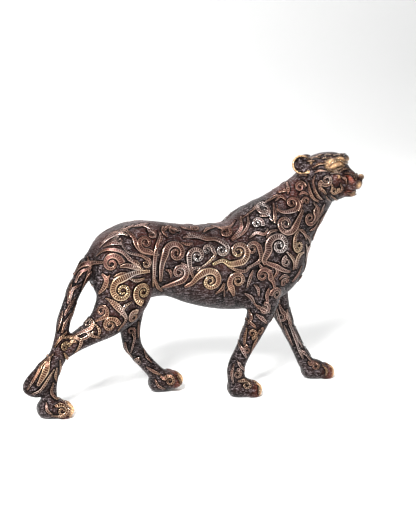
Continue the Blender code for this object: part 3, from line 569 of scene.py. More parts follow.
# Leaves, stems and frames between the scrolls: half width, points
STROKES = {
    "trunk": [
        (1.5, [(-98, 143), (-93, 148), (-86, 149), (-78, 147), (-72, 141), (-66, 135), (-61, 131)]),
        (2.2, [(-80, 134), (-75, 135), (-68, 133), (-60, 130.5)]),
        (1.8, [(-73, 140), (-66, 137), (-61, 132)]),
        (1.8, [(-72, 164), (-66, 159), (-64, 152), (-59, 146), (-50, 143)]),
        (2.2, [(-99, 111), (-95, 117), (-93, 123), (-96, 128)]),
        (2.0, [(-92, 106), (-86, 99), (-80, 93), (-76, 86)]), (1.5, [(-72, 123), (-66, 121), (-58, 122)]),
        (1.6, [(-40, 160), (-45, 150), (-48, 138), (-48.5, 126), (-49, 113)]),
        (1.3, [(-18, 155), (-10, 157), (-3, 155), (8, 154)]), (1.5, [(12, 102), (17, 107), (18.5, 112)]),
        (1.2, [(20, 99), (19, 106)]), (1.3, [(47, 172), (44.5, 163), (39, 156), (28, 150)]),
        (1.8, [(41, 169), (38.5, 161), (33, 155), (27, 151)]), (1.4, [(46, 122), (43, 114), (41, 106)]),
        (2.2, [(57, 130), (62, 127.5), (69, 124.5), (76, 120.5), (84, 118)]),
        (1.6, [(80, 137), (85, 132), (88.5, 126), (88, 119)]),
        (2.0, [(100, 134), (94, 132.5), (91.5, 128), (91, 120)]),
        (1.5, [(57, 171), (63, 171.5), (67, 176)]), (1.6, [(65, 172), (67, 166)]),
        (1.4, [(62, 104), (60, 97), (62, 88)]), (2.4, [(-116, 125), (-107, 134), (-95, 138)]),
        (1.6, [(40, 100), (46, 96), (50, 89)]), (1.5, [(-97, 152), (-90, 158), (-81, 163), (-70, 166)]),
        (1.4, [(-92, 151), (-85, 154), (-76, 153)]), (1.4, [(-34, 157), (-37, 162), (-34, 165)]),
        (1.3, [(-21, 151), (-15, 149), (-10, 150)]), (1.3, [(14, 162), (20, 165), (28, 164), (36, 166)]),
        (1.4, [(45, 152), (51, 156), (58, 155), (62, 160)]), (1.3, [(-37, 128), (-33, 126), (-32, 120)]),
        (1.4, [(-48, 121), (-44, 112), (-38, 107)]), (1.4, [(-14, 122), (-11, 127), (-3, 128)]),
        (1.4, [(22, 128), (29, 124), (38, 122), (44, 126)]), (1.3, [(66, 113), (70, 119), (68, 124)]),
        (1.4, [(-86, 126), (-79, 128), (-72, 127)]), (1.4, [(103, 141), (106, 133), (104, 125)]),
        (1.3, [(98, 121), (94, 113), (88, 107)]), (1.3, [(101, 151), (106, 147), (109, 141)]),
        (1.3, [(-64, 170), (-56, 167), (-48, 168)]), (1.2, [(-98, 160), (-90, 165), (-80, 169)]),
        (1.3, [(-44, 152), (-40, 156), (-41, 162)]), (1.3, [(60, 152), (64, 157), (71, 158)]),
        (1.3, [(48, 108), (52, 104), (53, 97)]), (1.3, [(-22, 133), (-17, 129), (-18, 122)]),
        (1.2, [(22, 104), (25, 109), (24, 115)]), (1.2, [(52, 128), (55, 124), (60, 124)]),
        (1.3, [(73, 112), (78, 115), (84, 112)]), (1.2, [(-104, 140), (-103, 132), (-106, 125)]),
        (1.2, [(-90, 127), (-93, 122), (-92, 116)]), (1.4, [(-84, 158), (-77, 161), (-70, 160)]),
        (1.2, [(-77, 166), (-71, 164), (-67, 158)]), (1.2, [(-88, 156), (-83, 160.5), (-77, 163)]),
        (1.3, [(-75, 162), (-70, 168), (-63, 180)]), (1.3, [(-56, 180), (-53, 170), (-46, 163)]),
        (1.3, [(-37, 161), (-31, 167), (-24, 178)]), (1.3, [(-15, 176), (-12, 168), (-5, 160)]),
        (1.3, [(3, 158), (8, 166), (16, 176)]),
    ],
    "neck": [
        (1.5, [(71, 181), (70, 172), (69, 165)]), (1.0, [(74, 180), (73, 174)]),
        (1.3, [(74, 184), (79, 187.5), (83, 185)]), (1.4, [(104, 200), (106, 192), (109, 186), (115, 182)]),
        (1.2, [(108, 199), (110, 192), (114, 188)]), (1.4, [(93, 158), (99, 154), (103, 147)]),
        (1.4, [(86, 190), (88, 195), (89, 199)]), (1.3, [(121, 150), (123, 157), (121, 164)]),
        (1.3, [(79, 191), (83, 197), (84, 203)]), (1.3, [(96, 189), (100, 191), (105, 189)]),
        (1.3, [(115, 163), (119, 171), (122, 179)]), (1.3, [(107, 155), (113, 157), (118, 164)]),
        (0.9, [(42, 169), (52, 176), (62, 186), (73, 196)]), (1.2, [(50, 184), (56, 187), (60, 192)]),
        (1.2, [(66, 188), (71, 192), (76, 193)]), (1.2, [(92, 207), (97, 205), (103, 207)]),
        (1.2, [(110, 181), (115, 175), (116, 168)]), (1.2, [(94, 186), (97, 180), (94, 174)]),
    ],
    "right_hind": [
        (1.3, [(-94, 107), (-88, 104.5), (-83, 100), (-78, 92), (-77, 86), (-84, 77)]),
        (1.2, [(-104, 84), (-101, 79), (-102, 74)]), (1.4, [(-106, 78), (-113, 73), (-119, 71)]),
        (1.3, [(-137, 73), (-127, 73.5), (-118, 71), (-119, 65), (-123, 59)]),
        (1.3, [(-133, 60), (-130, 55), (-128, 51)]), (1.2, [(-137, 54), (-136, 46), (-137, 39)]),
        (1.3, [(-143, 33), (-145, 25), (-141, 19), (-135, 16)]),
        (1.0, [(-146, 4.5), (-138, 3.5), (-131, 5)]), (1.0, [(-133.5, 15), (-130.5, 10), (-131.5, 4)]),
        (1.4, [(-128, 66), (-125, 70), (-121, 69)]),
        (1.3, [(-117, 80), (-112, 78), (-107, 74), (-100, 72)]), (1.3, [(-82, 92), (-78, 99), (-71, 103)]),
        (1.2, [(-140, 47), (-141, 40), (-140, 34)]), (1.2, [(-150, 16), (-150, 10), (-146, 6)]),
    ],
    "left_hind": [
        (1.6, [(-57, 92), (-51, 95), (-45, 92)]), (1.6, [(-58, 80), (-53, 83), (-49, 80)]),
        (1.2, [(-68, 67), (-64, 75), (-62, 81)]), (1.3, [(-44, 27), (-37, 22), (-30, 18)]),
        (1.2, [(-46, 44), (-44, 37), (-39, 31)]), (1.0, [(-15, 16), (-12, 11), (-13, 5)]),
        (1.4, [(-64, 52), (-62, 44), (-57, 37)]), (1.3, [(-52, 72), (-52, 64), (-52, 56)]),
        (1.2, [(-36, 14), (-33, 8), (-27, 5)]),
    ],
    "right_fore": [
        (1.2, [(75, 84), (69, 74), (65, 66)]), (1.2, [(63, 60), (58, 50), (55, 42)]),
        (1.1, [(54, 38), (50, 31), (49, 25)]), (1.5, [(50, 89), (56, 85), (64, 81)]),
        (1.8, [(51, 80), (56, 76), (61, 71)]), (1.3, [(44, 75), (48, 70), (50, 67)]),
        (1.4, [(37, 54), (38, 46), (42, 38)]), (1.3, [(33, 36), (36, 31), (41, 25)]),
        (1.0, [(50, 14), (53, 9), (52, 4)]), (1.4, [(43, 66), (41, 58), (40, 51)]),
        (1.4, [(52, 57), (49, 50), (46, 41)]), (1.4, [(46, 83), (47, 77), (44, 70)]),
        (1.2, [(30, 33), (28, 24), (29, 15)]),
    ],
    "left_fore": [
        (1.2, [(104, 74), (107, 66), (111, 60)]), (1.2, [(112, 56), (117, 47), (122, 39)]),
        (1.1, [(123, 36), (127, 31), (131, 27)]), (1.6, [(80, 90), (83, 84), (88, 82)]),
        (1.5, [(98, 60), (104, 47), (109, 34)]), (1.2, [(94, 57), (99, 46), (104, 36)]),
        (1.3, [(112, 31), (115, 27.5), (119, 25)]), (1.0, [(134, 14.5), (137, 9.5), (136, 4)]),
        (1.3, [(85, 76), (88, 66), (93, 55)]), (1.3, [(96, 72), (97, 65), (102, 55)]),
        (1.2, [(106, 40), (110, 31), (114, 22)]),
    ],
}
# The same on tail and tuft, and on the turned head, where they are mirrored over the head's own middle
TAIL_STROKES = [
    (1.6, [(-104, 131), (-112, 127), (-117, 119)]), (1.3, [(-113, 117), (-120, 113), (-124, 103)]),
    (1.2, [(-119, 106), (-125, 99), (-130, 92)]), (1.2, [(-124, 93), (-130, 86), (-134, 78)]),
    (1.2, [(-130, 78), (-136, 73), (-141, 66)]), (1.3, [(-102, 128), (-107, 121), (-112, 111)]),
    (1.2, [(-119, 120), (-123, 111), (-126, 102)]), (1.2, [(-117, 101), (-122, 93), (-126, 85)]),
    (1.2, [(-131, 95), (-134, 87), (-137, 79)]), (1.2, [(-141, 71), (-144, 64), (-147, 58)]),
    (3.0, [(-146, 57), (-151, 46), (-158, 34)]), (1.3, [(-143, 60), (-151, 53), (-159, 42), (-167, 30)]),
    (1.3, [(-143, 46), (-149, 38), (-156, 29), (-163, 26)]),
]
HEAD_SCROLLS = [
    (117.3, 203.3, 6.2, 200, 1, [(113, 197), (117.5, 193)]), (127, 193.7, 4.6, 20, -1, [(131.5, 190.5)]),
]
HEAD_STROKES = [
    (1.3, [(112.5, 195), (116, 193.5), (119.5, 190)]), (1.4, [(111, 192), (114, 187), (118.5, 184)]),
    (1.0, [(124.5, 188), (130.5, 184.2), (136.5, 182)]),
    (1.1, [(120.5, 214.5), (125, 220), (131, 221.3), (137, 218), (142, 217.5), (148.5, 216.5)]),
    (0.9, [(121.5, 213.5), (127, 212.5), (132, 214), (136.5, 216.3)]),
    (1.0, [(145, 203.5), (147.5, 206.3), (152, 207.3)]), (1.2, [(133, 206), (137, 203.5), (138, 199)]),
    (1.0, [(141, 189.5), (146, 188.2), (150.5, 188.4)]), (1.0, [(108, 214), (113, 217.5), (118, 218)]),
    (0.9, [(109, 210), (113, 212), (119, 211.5)]), (0.9, [(122, 209.5), (127, 210.5), (132, 209)]),
    (0.9, [(132, 211), (137, 213), (143, 212)]), (0.9, [(122, 200), (124, 196.5), (122.5, 192)]),
    (0.9, [(132, 199), (134, 195), (132.5, 190.5)]), (0.9, [(109, 207), (107.5, 202), (108.5, 197)]),
    (0.9, [(120, 187.5), (123, 184.5), (128, 181.5)]), (0.9, [(137, 209), (141, 208.5), (144, 205)]),
]
# Rows of short strands over the crown, above the eyes: start along X and height, count in the row
for first_x, z, count in ((106, 225, 5), (110, 222.3, 2), (105, 219.5, 1)):
    for k in range(count):
        x = first_x + 7.5 * k
        HEAD_STROKES.append((0.75, [(x, z), (x + 3, z + 0.8), (x + 6, z + 0.4)]))


def carried(line, drawn, x, z):
    """A place on the template, carried to the casting with the line that it lies beside."""
    start, end = Vector(line[0]), Vector(line[1])
    drawn_start, drawn_end = Vector(drawn[0]), Vector(drawn[1])
    along, drawn_along = end - start, drawn_end - drawn_start
    off = Vector((x, z)) - drawn_start
    share = off.dot(drawn_along) / drawn_along.length_squared
    beside = drawn_along.cross(off) / drawn_along.length_squared
    place = start + along * share + Vector((-along.y, along.x)) * beside
    return place.x, place.y


def on_skin(x, z, side):
    """Place and outward normal of the skin, met by looking at it squarely from one side."""
    place, normal, _, _ = skin.ray_cast(Vector((x, side * 100, z)), Vector((0, -side, 0)))
    if place is None:
        place, normal, _, _ = skin.find_nearest(Vector((x, side * RIB_HALF_WIDTH / 2, z)))
    return place, normal


def laid(rows, steps):
    """Rows with more between them, all laid on the skin."""
    rows = smooth_rows(rows, steps)
    rows[:, :3] = [skin.find_nearest(Vector(row[:3]))[0] for row in rows]
    return rows


def band_of_scroll(carry, x, z, radius, leave, wind, stem, side):
    """Points and half widths of one scroll's band, from its eye out to the end of its stem, on the skin."""
    middle, normal = on_skin(*carry(x, z), side)
    along = (Vector((1, 0, 0)) - normal * normal.x).normalized()
    upward = (Vector((0, 0, 1)) - normal * normal.z - along * along.z).normalized()
    opposite = SCROLL_TIGHTNESS**0.5
    widest = radius / ((1 + opposite) / 2 * (1 + BAND_SHARE))
    off_centre = widest * (1 - opposite) / 2
    rows = []
    start = math.radians(leave)
    turns = SCROLL_TURNS * min(1.0, SMALLEST_SHARE + radius / GROWTH_RADIUS)
    for turn in np.linspace(turns, 0, SCROLL_POINTS):
        reach = widest * SCROLL_TIGHTNESS**turn
        angle = start + wind * turn * 2 * math.pi
        a = reach * math.cos(angle) - off_centre * math.cos(start)
        b = reach * math.sin(angle) - off_centre * math.sin(start)
        rows.append((*skin.find_nearest(middle + along * a + upward * b)[0], reach * BAND_SHARE))
    for count, point in enumerate(stem, 1):
        place, _ = on_skin(*carry(*point), side)
        rows.append((*place, widest * BAND_SHARE * (1 - STEM_TAPER * count / len(stem))))
    return laid(rows, 4)


def band_of_stroke(carry, half_width, points, side):
    """The same for a leaf or stem, which is widest in its middle and runs out to a point at both ends."""
    rows = []
    for share, point in zip(np.linspace(0, 1, len(points)), points):
        place, _ = on_skin(*carry(*point), side)
        rows.append((*place, half_width * (TIP_SHARE + (1 - TIP_SHARE) * math.sin(math.pi * share))))
    return laid(rows, 8)


def over_head(band):
    """The same band on the head's other side."""
    mirrored = band.copy()
    for row in mirrored:
        ahead = head_spin.inverted() @ (Vector(row[:3]) - head_pivot)
        ahead.y = -ahead.y
        row[:3] = skin.find_nearest(head_spin @ ahead + head_pivot)[0]
    return mirrored


def as_drawn(x, z):
    """Tail and head are drawn where they are, so nothing carries their bands."""
    return x, z


def on_one_limb(band):
    """Whether a band holds together. Near the fork of two legs one can leap from leg to leg."""
    return np.linalg.norm(np.diff(band[:, :3], axis=0), axis=1).max() < FARTHEST_STEP


bands = {"scrolls_right": [], "scrolls_left": [], "scrolls_legs": [], "scrolls_head_tail": []}
for region in SCROLLS:
    carry = partial(carried, template_lines[region], TEMPLATE[region])
    for side, flank in ((-1, "scrolls_right"), (1, "scrolls_left")):
        drawn = [band_of_scroll(carry, *scroll, side) for scroll in SCROLLS[region]]
        drawn += [band_of_stroke(carry, *stroke, side) for stroke in STROKES[region]]
        bands[flank if region in ("trunk", "neck") else "scrolls_legs"] += filter(on_one_limb, drawn)
for side in (-1, 1):
    bands["scrolls_head_tail"] += [band_of_stroke(as_drawn, *stroke, side) for stroke in TAIL_STROKES]
on_head = [band_of_scroll(as_drawn, *scroll, -1) for scroll in HEAD_SCROLLS]
on_head += [band_of_stroke(as_drawn, *stroke, -1) for stroke in HEAD_STROKES]
bands["scrolls_head_tail"] += on_head + [over_head(band) for band in on_head]

# Where polish and hands have worn the coat: along and above the template, radius, how far
GOLD_SPOTS = [
    (-78, 114, 15, 1.0), (-59, 109, 13, 1.0), (-60, 128, 10, 0.6), (33, 137, 9, 0.7), (20, 131, 10, 1.0),
    (8, 130, 8, 1.0), (2, 114, 13, 0.75), (31, 110, 9, 0.4), (91, 140, 12, 0.8), (47, 60, 9, 0.5),
    (-131, 66, 14, 0.8), (-90, 86, 12, 0.4), (-150, 45, 14, 0.6), (-17, 25, 14, 0.8), (64, 8, 10, 0.9),
    (-137, 10, 12, 0.5), (40, 14, 10, 0.4), (52, 9, 8, 0.6), (136, 9, 8, 0.6), (-16, 12, 12, 0.4),
    (-60, 93, 12, 0.5), (-104, 80, 10, 0.5), (127, 203, 8, 0.3), (127, 194, 7, 0.5), (148, 196, 8, 0.9),
    (128, 219, 10, 0.9), (118, 224, 14, 0.5), (117, 203, 9, 0.1), (114, 190, 8, 0.3), (145, 217, 7, 0.9),
]
# More wear here, and a painted sheen that whitens the worn metal of rims and ribs to cool grey
WORN_SHEEN_SPOTS = [
    (-8, 135, 10, 0.9), (4, 142, 7, 0.9), (17, 144, 8, 1.0), (54, 165, 8, 0.9), (74, 144, 13, 0.9),
    (61, 179, 7, 0.8), (65, 171, 4, 0.9), (-70, 128, 8, 0.7), (45, 128, 9, 0.3),
]
RED_SPOTS = [
    (-92, 158, 15, 0.8), (-50, 160, 18, 0.7), (-10, 163, 20, 0.6), (30, 160, 16, 0.6), (85, 196, 16, 0.9),
    (-29, 146, 10, 0.5), (-24, 123, 9, 0.4), (-92, 88, 10, 0.5), (71, 120, 9, 0.4),
]
WEAR_SHARPNESS = 1.2


def worn(points, spots):
    """How far hands and polish have reached each point, from 0 to 1: a soft spot round each place."""
    total = np.zeros(len(points))
    for x, z, radius, most in spots:
        away = ((points[:, 0] - x) ** 2 + (points[:, 2] - z) ** 2) / radius**2
        total = np.maximum(total, most * np.exp(-away * WEAR_SHARPNESS))
    return total


def set_numbers(data, name, numbers, kind="FLOAT", field="value"):
    """Stores numbers at a mesh's points, where a sweep or a material reads them by name."""
    layer = data.attributes.new(name, kind, "POINT")
    layer.data.foreach_set(field, np.ascontiguousarray(numbers, float).ravel())


def rails(rows_of_bands, name):
    """The middle lines of bands as a mesh of edges in metres, with what the sweep reads at each point."""
    points, edges, widths, outward, sideways = [], [], [], [], []
    for band in rows_of_bands:
        centres = band[:, :3]
        tangents = np.gradient(centres, axis=0)
        first = len(points)
        for centre, half_width, tangent in zip(centres, band[:, 3], tangents):
            place, normal, _, _ = skin.find_nearest(Vector(centre))
            across = normal.cross(Vector(tangent)).normalized()
            points.append(place + normal * BAND_LIFT)
            widths.append(half_width * MM)
            outward.append(normal)
            sideways.append(across)
        edges += [(k, k + 1) for k in range(first, len(points) - 1)]
    data = bpy.data.meshes.new(name)
    data.from_pydata([(point - CENTRE) * MM for point in points], edges, [])
    set_numbers(data, "half_width", widths)
    set_numbers(data, "outward", outward, "FLOAT_VECTOR", "vector")
    set_numbers(data, "sideways", sideways, "FLOAT_VECTOR", "vector")
    for kind, spots in (("gold", GOLD_SPOTS), ("worn_sheen", WORN_SHEEN_SPOTS), ("red", RED_SPOTS)):
        set_numbers(data, kind, worn(np.array(points), spots))
    return placed(name, data)


def set_inputs(node, inputs):
    """Gives each named or numbered input of a node a value or another node's output."""
    for socket, value in inputs.items():
        if isinstance(value, bpy.types.NodeSocket):
            node.id_data.links.new(value, node.inputs[socket])
        else:
            node.inputs[socket].default_value = value


def add_node(tree, kind, inputs=None, out=0, **settings):
    """Adds a node with its settings and inputs, and gives back one of its outputs."""
    node = tree.nodes.new(kind)
    for name, value in settings.items():
        setattr(node, name, value)
    set_inputs(node, inputs or {})
    return node.outputs[out]


def new_material(name):
    """A material with its shader, and add_node for its tree."""
    material = bpy.data.materials.new(name)
    material.use_nodes = True
    tree = material.node_tree
    return material, tree.nodes["Principled BSDF"], partial(add_node, tree)


def linear(code, alpha=1.0):
    """An sRGB hex colour as the linear values that nodes take."""
    channels = [int(code[k : k + 2], 16) / 255 for k in (1, 3, 5)]
    return (*[c / 12.92 if c <= 0.04045 else ((c + 0.055) / 1.055) ** 2.4 for c in channels], alpha)


# Rubbed brass of the bands: the patina is brown, and copper-red on top; painted shade darkens it towards
# black between the ribs. Rims and ribs are worn to yellow metal, which a painted sheen whitens to cool grey
# in places.
BAND_BROWN = linear("#211311")
BAND_COPPER = linear("#4d2c28")
BAND_RED = linear("#5a2c24")
BAND_AMBER = linear("#7d4a2c")
RIM_GOLD = linear("#ffe0ac")
RIM_DULL = linear("#f4c4aa")
# Near-white of a painted sheen on the worn metal
SHEEN_WHITE = linear("#fbf4f2")
# Near-black of painted shade: between the ribs, along the band edges, and in the skin's grooves and clefts
SHADE_BLACK = linear("#060404")

rubbed, shader, add = new_material("rubbed_brass_bands")
across, ribbed, gold, worn_sheen, red = (
    add("ShaderNodeAttribute", out="Fac", attribute_name=name)
    for name in ("across", "rib", "gold", "worn_sheen", "red")
)
place = add("ShaderNodeTexCoord", out="Object")
mottle = add("ShaderNodeTexNoise", {"Vector": place, "Scale": 160.0, "Detail": 4.0})
speck = add("ShaderNodeTexNoise", {"Vector": place, "Scale": 900.0, "Detail": 2.0})
cloud = add("ShaderNodeTexNoise", {"Vector": place, "Scale": 42.0, "Detail": 2.0})
brightest = add("ShaderNodeMath", {0: gold, 1: worn_sheen}, operation="MAXIMUM")

# The floor between rims and ribs. Map Range takes its input 0 from the range 1 to 2 into the range 3 to 4,
# and Mix lays colour 7 over colour 6 as far as its input 0 says.
patchy = add("ShaderNodeMapRange", {0: mottle, 1: 0.38, 2: 0.62})
# Painted shade between the ribs: the floor darkens towards black, the more where the band is most worn
shade_between_ribs = add("ShaderNodeMath", {0: brightest, 1: 0.5, 2: 0.3}, operation="MULTIPLY_ADD")
colour = BAND_BROWN
for share, over in ((patchy, BAND_COPPER), (red, BAND_RED), (gold, BAND_AMBER), (shade_between_ribs, SHADE_BLACK)):
    colour = add("ShaderNodeMix", {0: share, 6: colour, 7: over}, out=2, data_type="RGBA")

# The metal that shows where the patina is worn off
# Painted sheen: in clouds and at the sheen spots the worn metal is whitened to cool grey
sheen_cloud = add("ShaderNodeMapRange", {0: cloud, 1: 0.48, 2: 0.66, 3: 0.0, 4: 0.6})
metal = RIM_DULL
for share, over in ((sheen_cloud, SHEEN_WHITE), (gold, RIM_GOLD), (worn_sheen, SHEEN_WHITE)):
    metal = add("ShaderNodeMix", {0: share, 6: metal, 7: over}, out=2, data_type="RGBA")

# Wear: on rims and ribs, in clouds, and broken up by fine specks
distance = add("ShaderNodeMath", {0: across}, operation="ABSOLUTE")
rim = add("ShaderNodeMapRange", {0: distance, 1: 0.66, 2: 0.86}, interpolation_type="SMOOTHSTEP")
outer = add("ShaderNodeMapRange", {0: distance, 1: 0.97, 2: 0.9}, interpolation_type="SMOOTHSTEP")
rim_top = add("ShaderNodeMath", {0: rim, 1: outer}, operation="MULTIPLY")
rib_wear = add("ShaderNodeMath", {0: brightest, 1: 0.7, 2: 0.3}, operation="MULTIPLY_ADD")
rib_top = add("ShaderNodeMath", {0: ribbed, 1: rib_wear}, operation="MULTIPLY")
high = add("ShaderNodeMath", {0: rim_top, 1: rib_top}, operation="MAXIMUM")
handled = add("ShaderNodeMapRange", {0: cloud, 1: 0.38, 2: 0.62, 3: 0.65, 4: 1.15})
specks = add("ShaderNodeMapRange", {0: speck, 1: 0.3, 2: 0.55, 3: 0.55, 4: 1.0})
wear = add("ShaderNodeMath", {0: brightest, 1: 0.15, 2: 0.85}, operation="MULTIPLY_ADD")
for factor in (handled, high, specks):
    wear = add("ShaderNodeMath", {0: wear, 1: factor}, operation="MULTIPLY", use_clamp=True)

# Painted shade: a dark line where the band's edges meet the groove
edge_shade = add("ShaderNodeMapRange", {0: distance, 1: 0.93, 2: 1.0})
for share, over in ((wear, metal), (edge_shade, SHADE_BLACK)):
    colour = add("ShaderNodeMix", {0: share, 6: colour, 7: over}, out=2, data_type="RGBA")
rough = add("ShaderNodeMapRange", {0: wear, 1: 0.0, 2: 1.0, 3: 0.4, 4: 0.18})
bump = add("ShaderNodeBump", {"Height": speck, "Strength": 0.25, "Distance": 0.0003})
set_inputs(shader, {"Base Color": colour, "Metallic": 0.85, "Roughness": rough, "Normal": bump})
set_inputs(shader, {"Coat Weight": 0.1, "Coat Roughness": 0.2, "Coat Normal": bump})

# The sweep: rings along the rail with a rim on both edges, ribs across it, and a bead in the eye
sweep = bpy.data.node_groups.new("carved_band", "GeometryNodeTree")
add = partial(add_node, sweep)
sweep_inputs = {
    "Ring step": RING_STEP * MM,
    "Rib step": RIB_STEP * MM,
    "Rib thickness": RIB_THICKNESS * MM,
    "Smallest ribbed": SMALLEST_RIBBED * MM,
    "Finish": rubbed,
}
sockets = {}
sweep.interface.new_socket("Rails", in_out="INPUT", socket_type="NodeSocketGeometry")
for label in sweep_inputs:
    kind = "NodeSocketMaterial" if label == "Finish" else "NodeSocketFloat"
    sockets[label] = sweep.interface.new_socket(label, in_out="INPUT", socket_type=kind).identifier
sweep.interface.new_socket("Band", in_out="OUTPUT", socket_type="NodeSocketGeometry")
given = add("NodeGroupInput").node.outputs
width, outward, sideways = (
    add("GeometryNodeInputNamedAttribute", {"Name": name}, data_type=kind)
    for name, kind in (("half_width", "FLOAT"), ("outward", "FLOAT_VECTOR"), ("sideways", "FLOAT_VECTOR"))
)
rail = add("GeometryNodeMeshToCurve", {"Mesh": given["Rails"]})
rings, rib_places = (
    add("GeometryNodeResampleCurve", {"Curve": rail, "Length": given[step]}, mode="LENGTH")
    for step in ("Ring step", "Rib step")
)
stood = add("GeometryNodeSetCurveNormal", {"Curve": rings, "Normal": outward}, mode="FREE")

# The profile is a circle whose upper side follows the band's height over its half width, X up and Y across
circle = add("GeometryNodeCurvePrimitiveCircle", {"Resolution": 16, "Radius": 1.0})
spot = add("ShaderNodeSeparateXYZ", {0: add("GeometryNodeInputPosition")}).node.outputs
sway = add("ShaderNodeMath", {0: spot["Y"]}, operation="ABSOLUTE")
top_line = add("ShaderNodeFloatCurve", {"Value": sway})
curve = top_line.node.mapping.curves[0]
curve.points[0].location = (0.0, 0.44)
curve.points[1].location = (1.0, 0.0)
for x, y in ((0.383, 0.42), (0.707, 0.44), (0.82, 0.57), (0.93, 0.46)):
    curve.points.new(x, y)
top_line.node.mapping.update()
under = add("FunctionNodeCompare", {0: spot["X"], 1: -0.05}, data_type="FLOAT", operation="LESS_THAN")
height = add(
    "GeometryNodeSwitch", {"Switch": under, "False": top_line, "True": BAND_UNDERSIDE}, input_type="FLOAT"
)
shaped = add("ShaderNodeCombineXYZ", {0: height, 1: spot["Y"], 2: 0.0})
kept_across = add(
    "GeometryNodeStoreNamedAttribute",
    {"Geometry": circle, "Name": "across", "Value": spot["Y"]},
    data_type="FLOAT",
    domain="POINT",
)
profile = add("GeometryNodeSetPosition", {"Geometry": kept_across, "Position": shaped})
swept = add(
    "GeometryNodeCurveToMesh",
    {"Curve": stood, "Profile Curve": profile, "Scale": width, "Fill Caps": True},
)

# A rib is a bar as long as the band is wide, pinched at its top
bar_size = add("ShaderNodeCombineXYZ", {0: RIB_LENGTH, 1: given["Rib thickness"], 2: RIB_HEIGHT})
bar = add("GeometryNodeMeshCube", {"Size": bar_size, "Vertices X": 4, "Vertices Y": 2, "Vertices Z": 2})
on_top = add("FunctionNodeCompare", {0: spot["Z"], 1: 0.0}, data_type="FLOAT", operation="GREATER_THAN")
pinch = add("GeometryNodeSwitch", {"Switch": on_top, "False": 1.0, "True": RIB_PINCH}, input_type="FLOAT")
thin_y = add("ShaderNodeMath", {0: spot["Y"], 1: pinch}, operation="MULTIPLY")
raised_z = add("ShaderNodeMath", {0: spot["Z"], 1: RIB_RISE}, operation="ADD")
bar_shape = add("ShaderNodeCombineXYZ", {0: spot["X"], 1: thin_y, 2: raised_z})
rib = add("GeometryNodeSetPosition", {"Geometry": bar, "Position": bar_shape})
smallest = given["Smallest ribbed"]
wide_enough = add(
    "FunctionNodeCompare", {0: width, 1: smallest}, data_type="FLOAT", operation="GREATER_THAN"
)
rib_scale = add("ShaderNodeCombineXYZ", {0: width, 1: 1.0, 2: width})

# Beads in the eyes and ribs are set on their points, each with how far its top is worn
count = add("GeometryNodeSplineParameter", out="Index")
is_eye = add("FunctionNodeCompare", {2: count, 3: 0}, data_type="INT", operation="EQUAL")
bead = add("GeometryNodeMeshUVSphere", {"Segments": 12, "Rings": 7, "Radius": BEAD_RADIUS})
facing = add("FunctionNodeAxesToRotation", {0: outward, 1: sideways}, primary_axis="Z", secondary_axis="X")
joined = add("GeometryNodeJoinGeometry")
for points, chosen, shape, top_wear, scale in (
    (stood, is_eye, bead, 0.6, width),
    (rib_places, wide_enough, rib, 1.0, rib_scale),
):
    marked = add(
        "GeometryNodeStoreNamedAttribute",
        {"Geometry": shape, "Name": "rib", "Value": top_wear},
        data_type="FLOAT",
        domain="POINT",
    )
    set_out = add(
        "GeometryNodeInstanceOnPoints",
        {"Points": points, "Selection": chosen, "Instance": marked, "Rotation": facing, "Scale": scale},
    )
    sweep.links.new(set_out, joined.node.inputs[0])
sweep.links.new(swept, joined.node.inputs[0])
real = add("GeometryNodeRealizeInstances", {"Geometry": joined})
finished = add("GeometryNodeSetMaterial", {"Geometry": real, "Material": given["Finish"]})
sweep.links.new(finished, sweep.nodes.new("NodeGroupOutput").inputs[0])

for name, rows in bands.items():
    rail_object = rails(rows, name + "_rails")
    modifier = rail_object.modifiers.new("Sweep", "NODES")
    modifier.node_group = sweep
    for label, value in sweep_inputs.items():
        modifier[sockets[label]] = value
    piece = plain_copy(rail_object, name)
    shade_smooth(piece)
    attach(piece, "root")

# The ground of the coat. Beside every band the graver cut a groove, made near-black by painted shade, and the
# field between was hatched. The skin sinks along each band, then thins so that its triangles gather at the
# carving.

GROOVE_DEPTH, GROOVE_WIDTH, GROOVE_FOOT = 1.1, 1.6, 0.4
CLEFT_DEPTH, CLEFT_HALF_WIDTH, CLEFT_REACH, TOE_LENGTH = 1.7, 1.2, 18.0, 15.0
MOUTH_RISE, MOUTH_HALF_WIDTH, MOUTH_CORNER = 11.3, 1.1, 44.0
NOSTRIL_RADIUS, NOSTRIL_APART, NOSTRIL_AHEAD, NOSTRIL_DROP = 1.8, 7.2, 59.0, 25.5
PAW_MARGIN = 4.0
SKIN_TRIANGLES = 190000

band_samples = np.vstack([band for rows in bands.values() for band in rows])
near_bands = KDTree(len(band_samples))
for index, sample in enumerate(band_samples):
    near_bands.insert(sample[:3], index)
near_bands.balance()


def groove_reach(points):
    """For each point its distance past the edge of the nearest band: below 0 is under the band."""
    past = np.empty(len(points))
    for row, point in enumerate(points):
        _, index, distance = near_bands.find(point)
        past[row] = distance - band_samples[index, 3]
    return past


def looking_ahead(points):
    """The points as they are before the head turns."""
    turned_back = np.array(head_spin.inverted())
    return (points - np.array(head_pivot)) @ turned_back.T + np.array(head_pivot)


def on_toes(points, reach):
    """How far along its toes each point of a paw lies: 0 behind them, 1 at their tips."""
    share = np.zeros(len(points))
    for name, ankle in ANKLES.items():
        heel, lift = PAW_POSES[name]
        tip = ankle[0] - heel + PAW_LENGTH
        near = (points[:, 2] < PAW_HEIGHT + lift) & (np.abs(points[:, 0] - tip) < reach + PAW_MARGIN)
        near &= np.abs(points[:, 1] - ankle[1]) < PAW_HALF_WIDTH + PAW_MARGIN
        share = np.maximum(share, near * np.clip(1 - (tip - points[:, 0]) / reach, 0, 1))
    return share


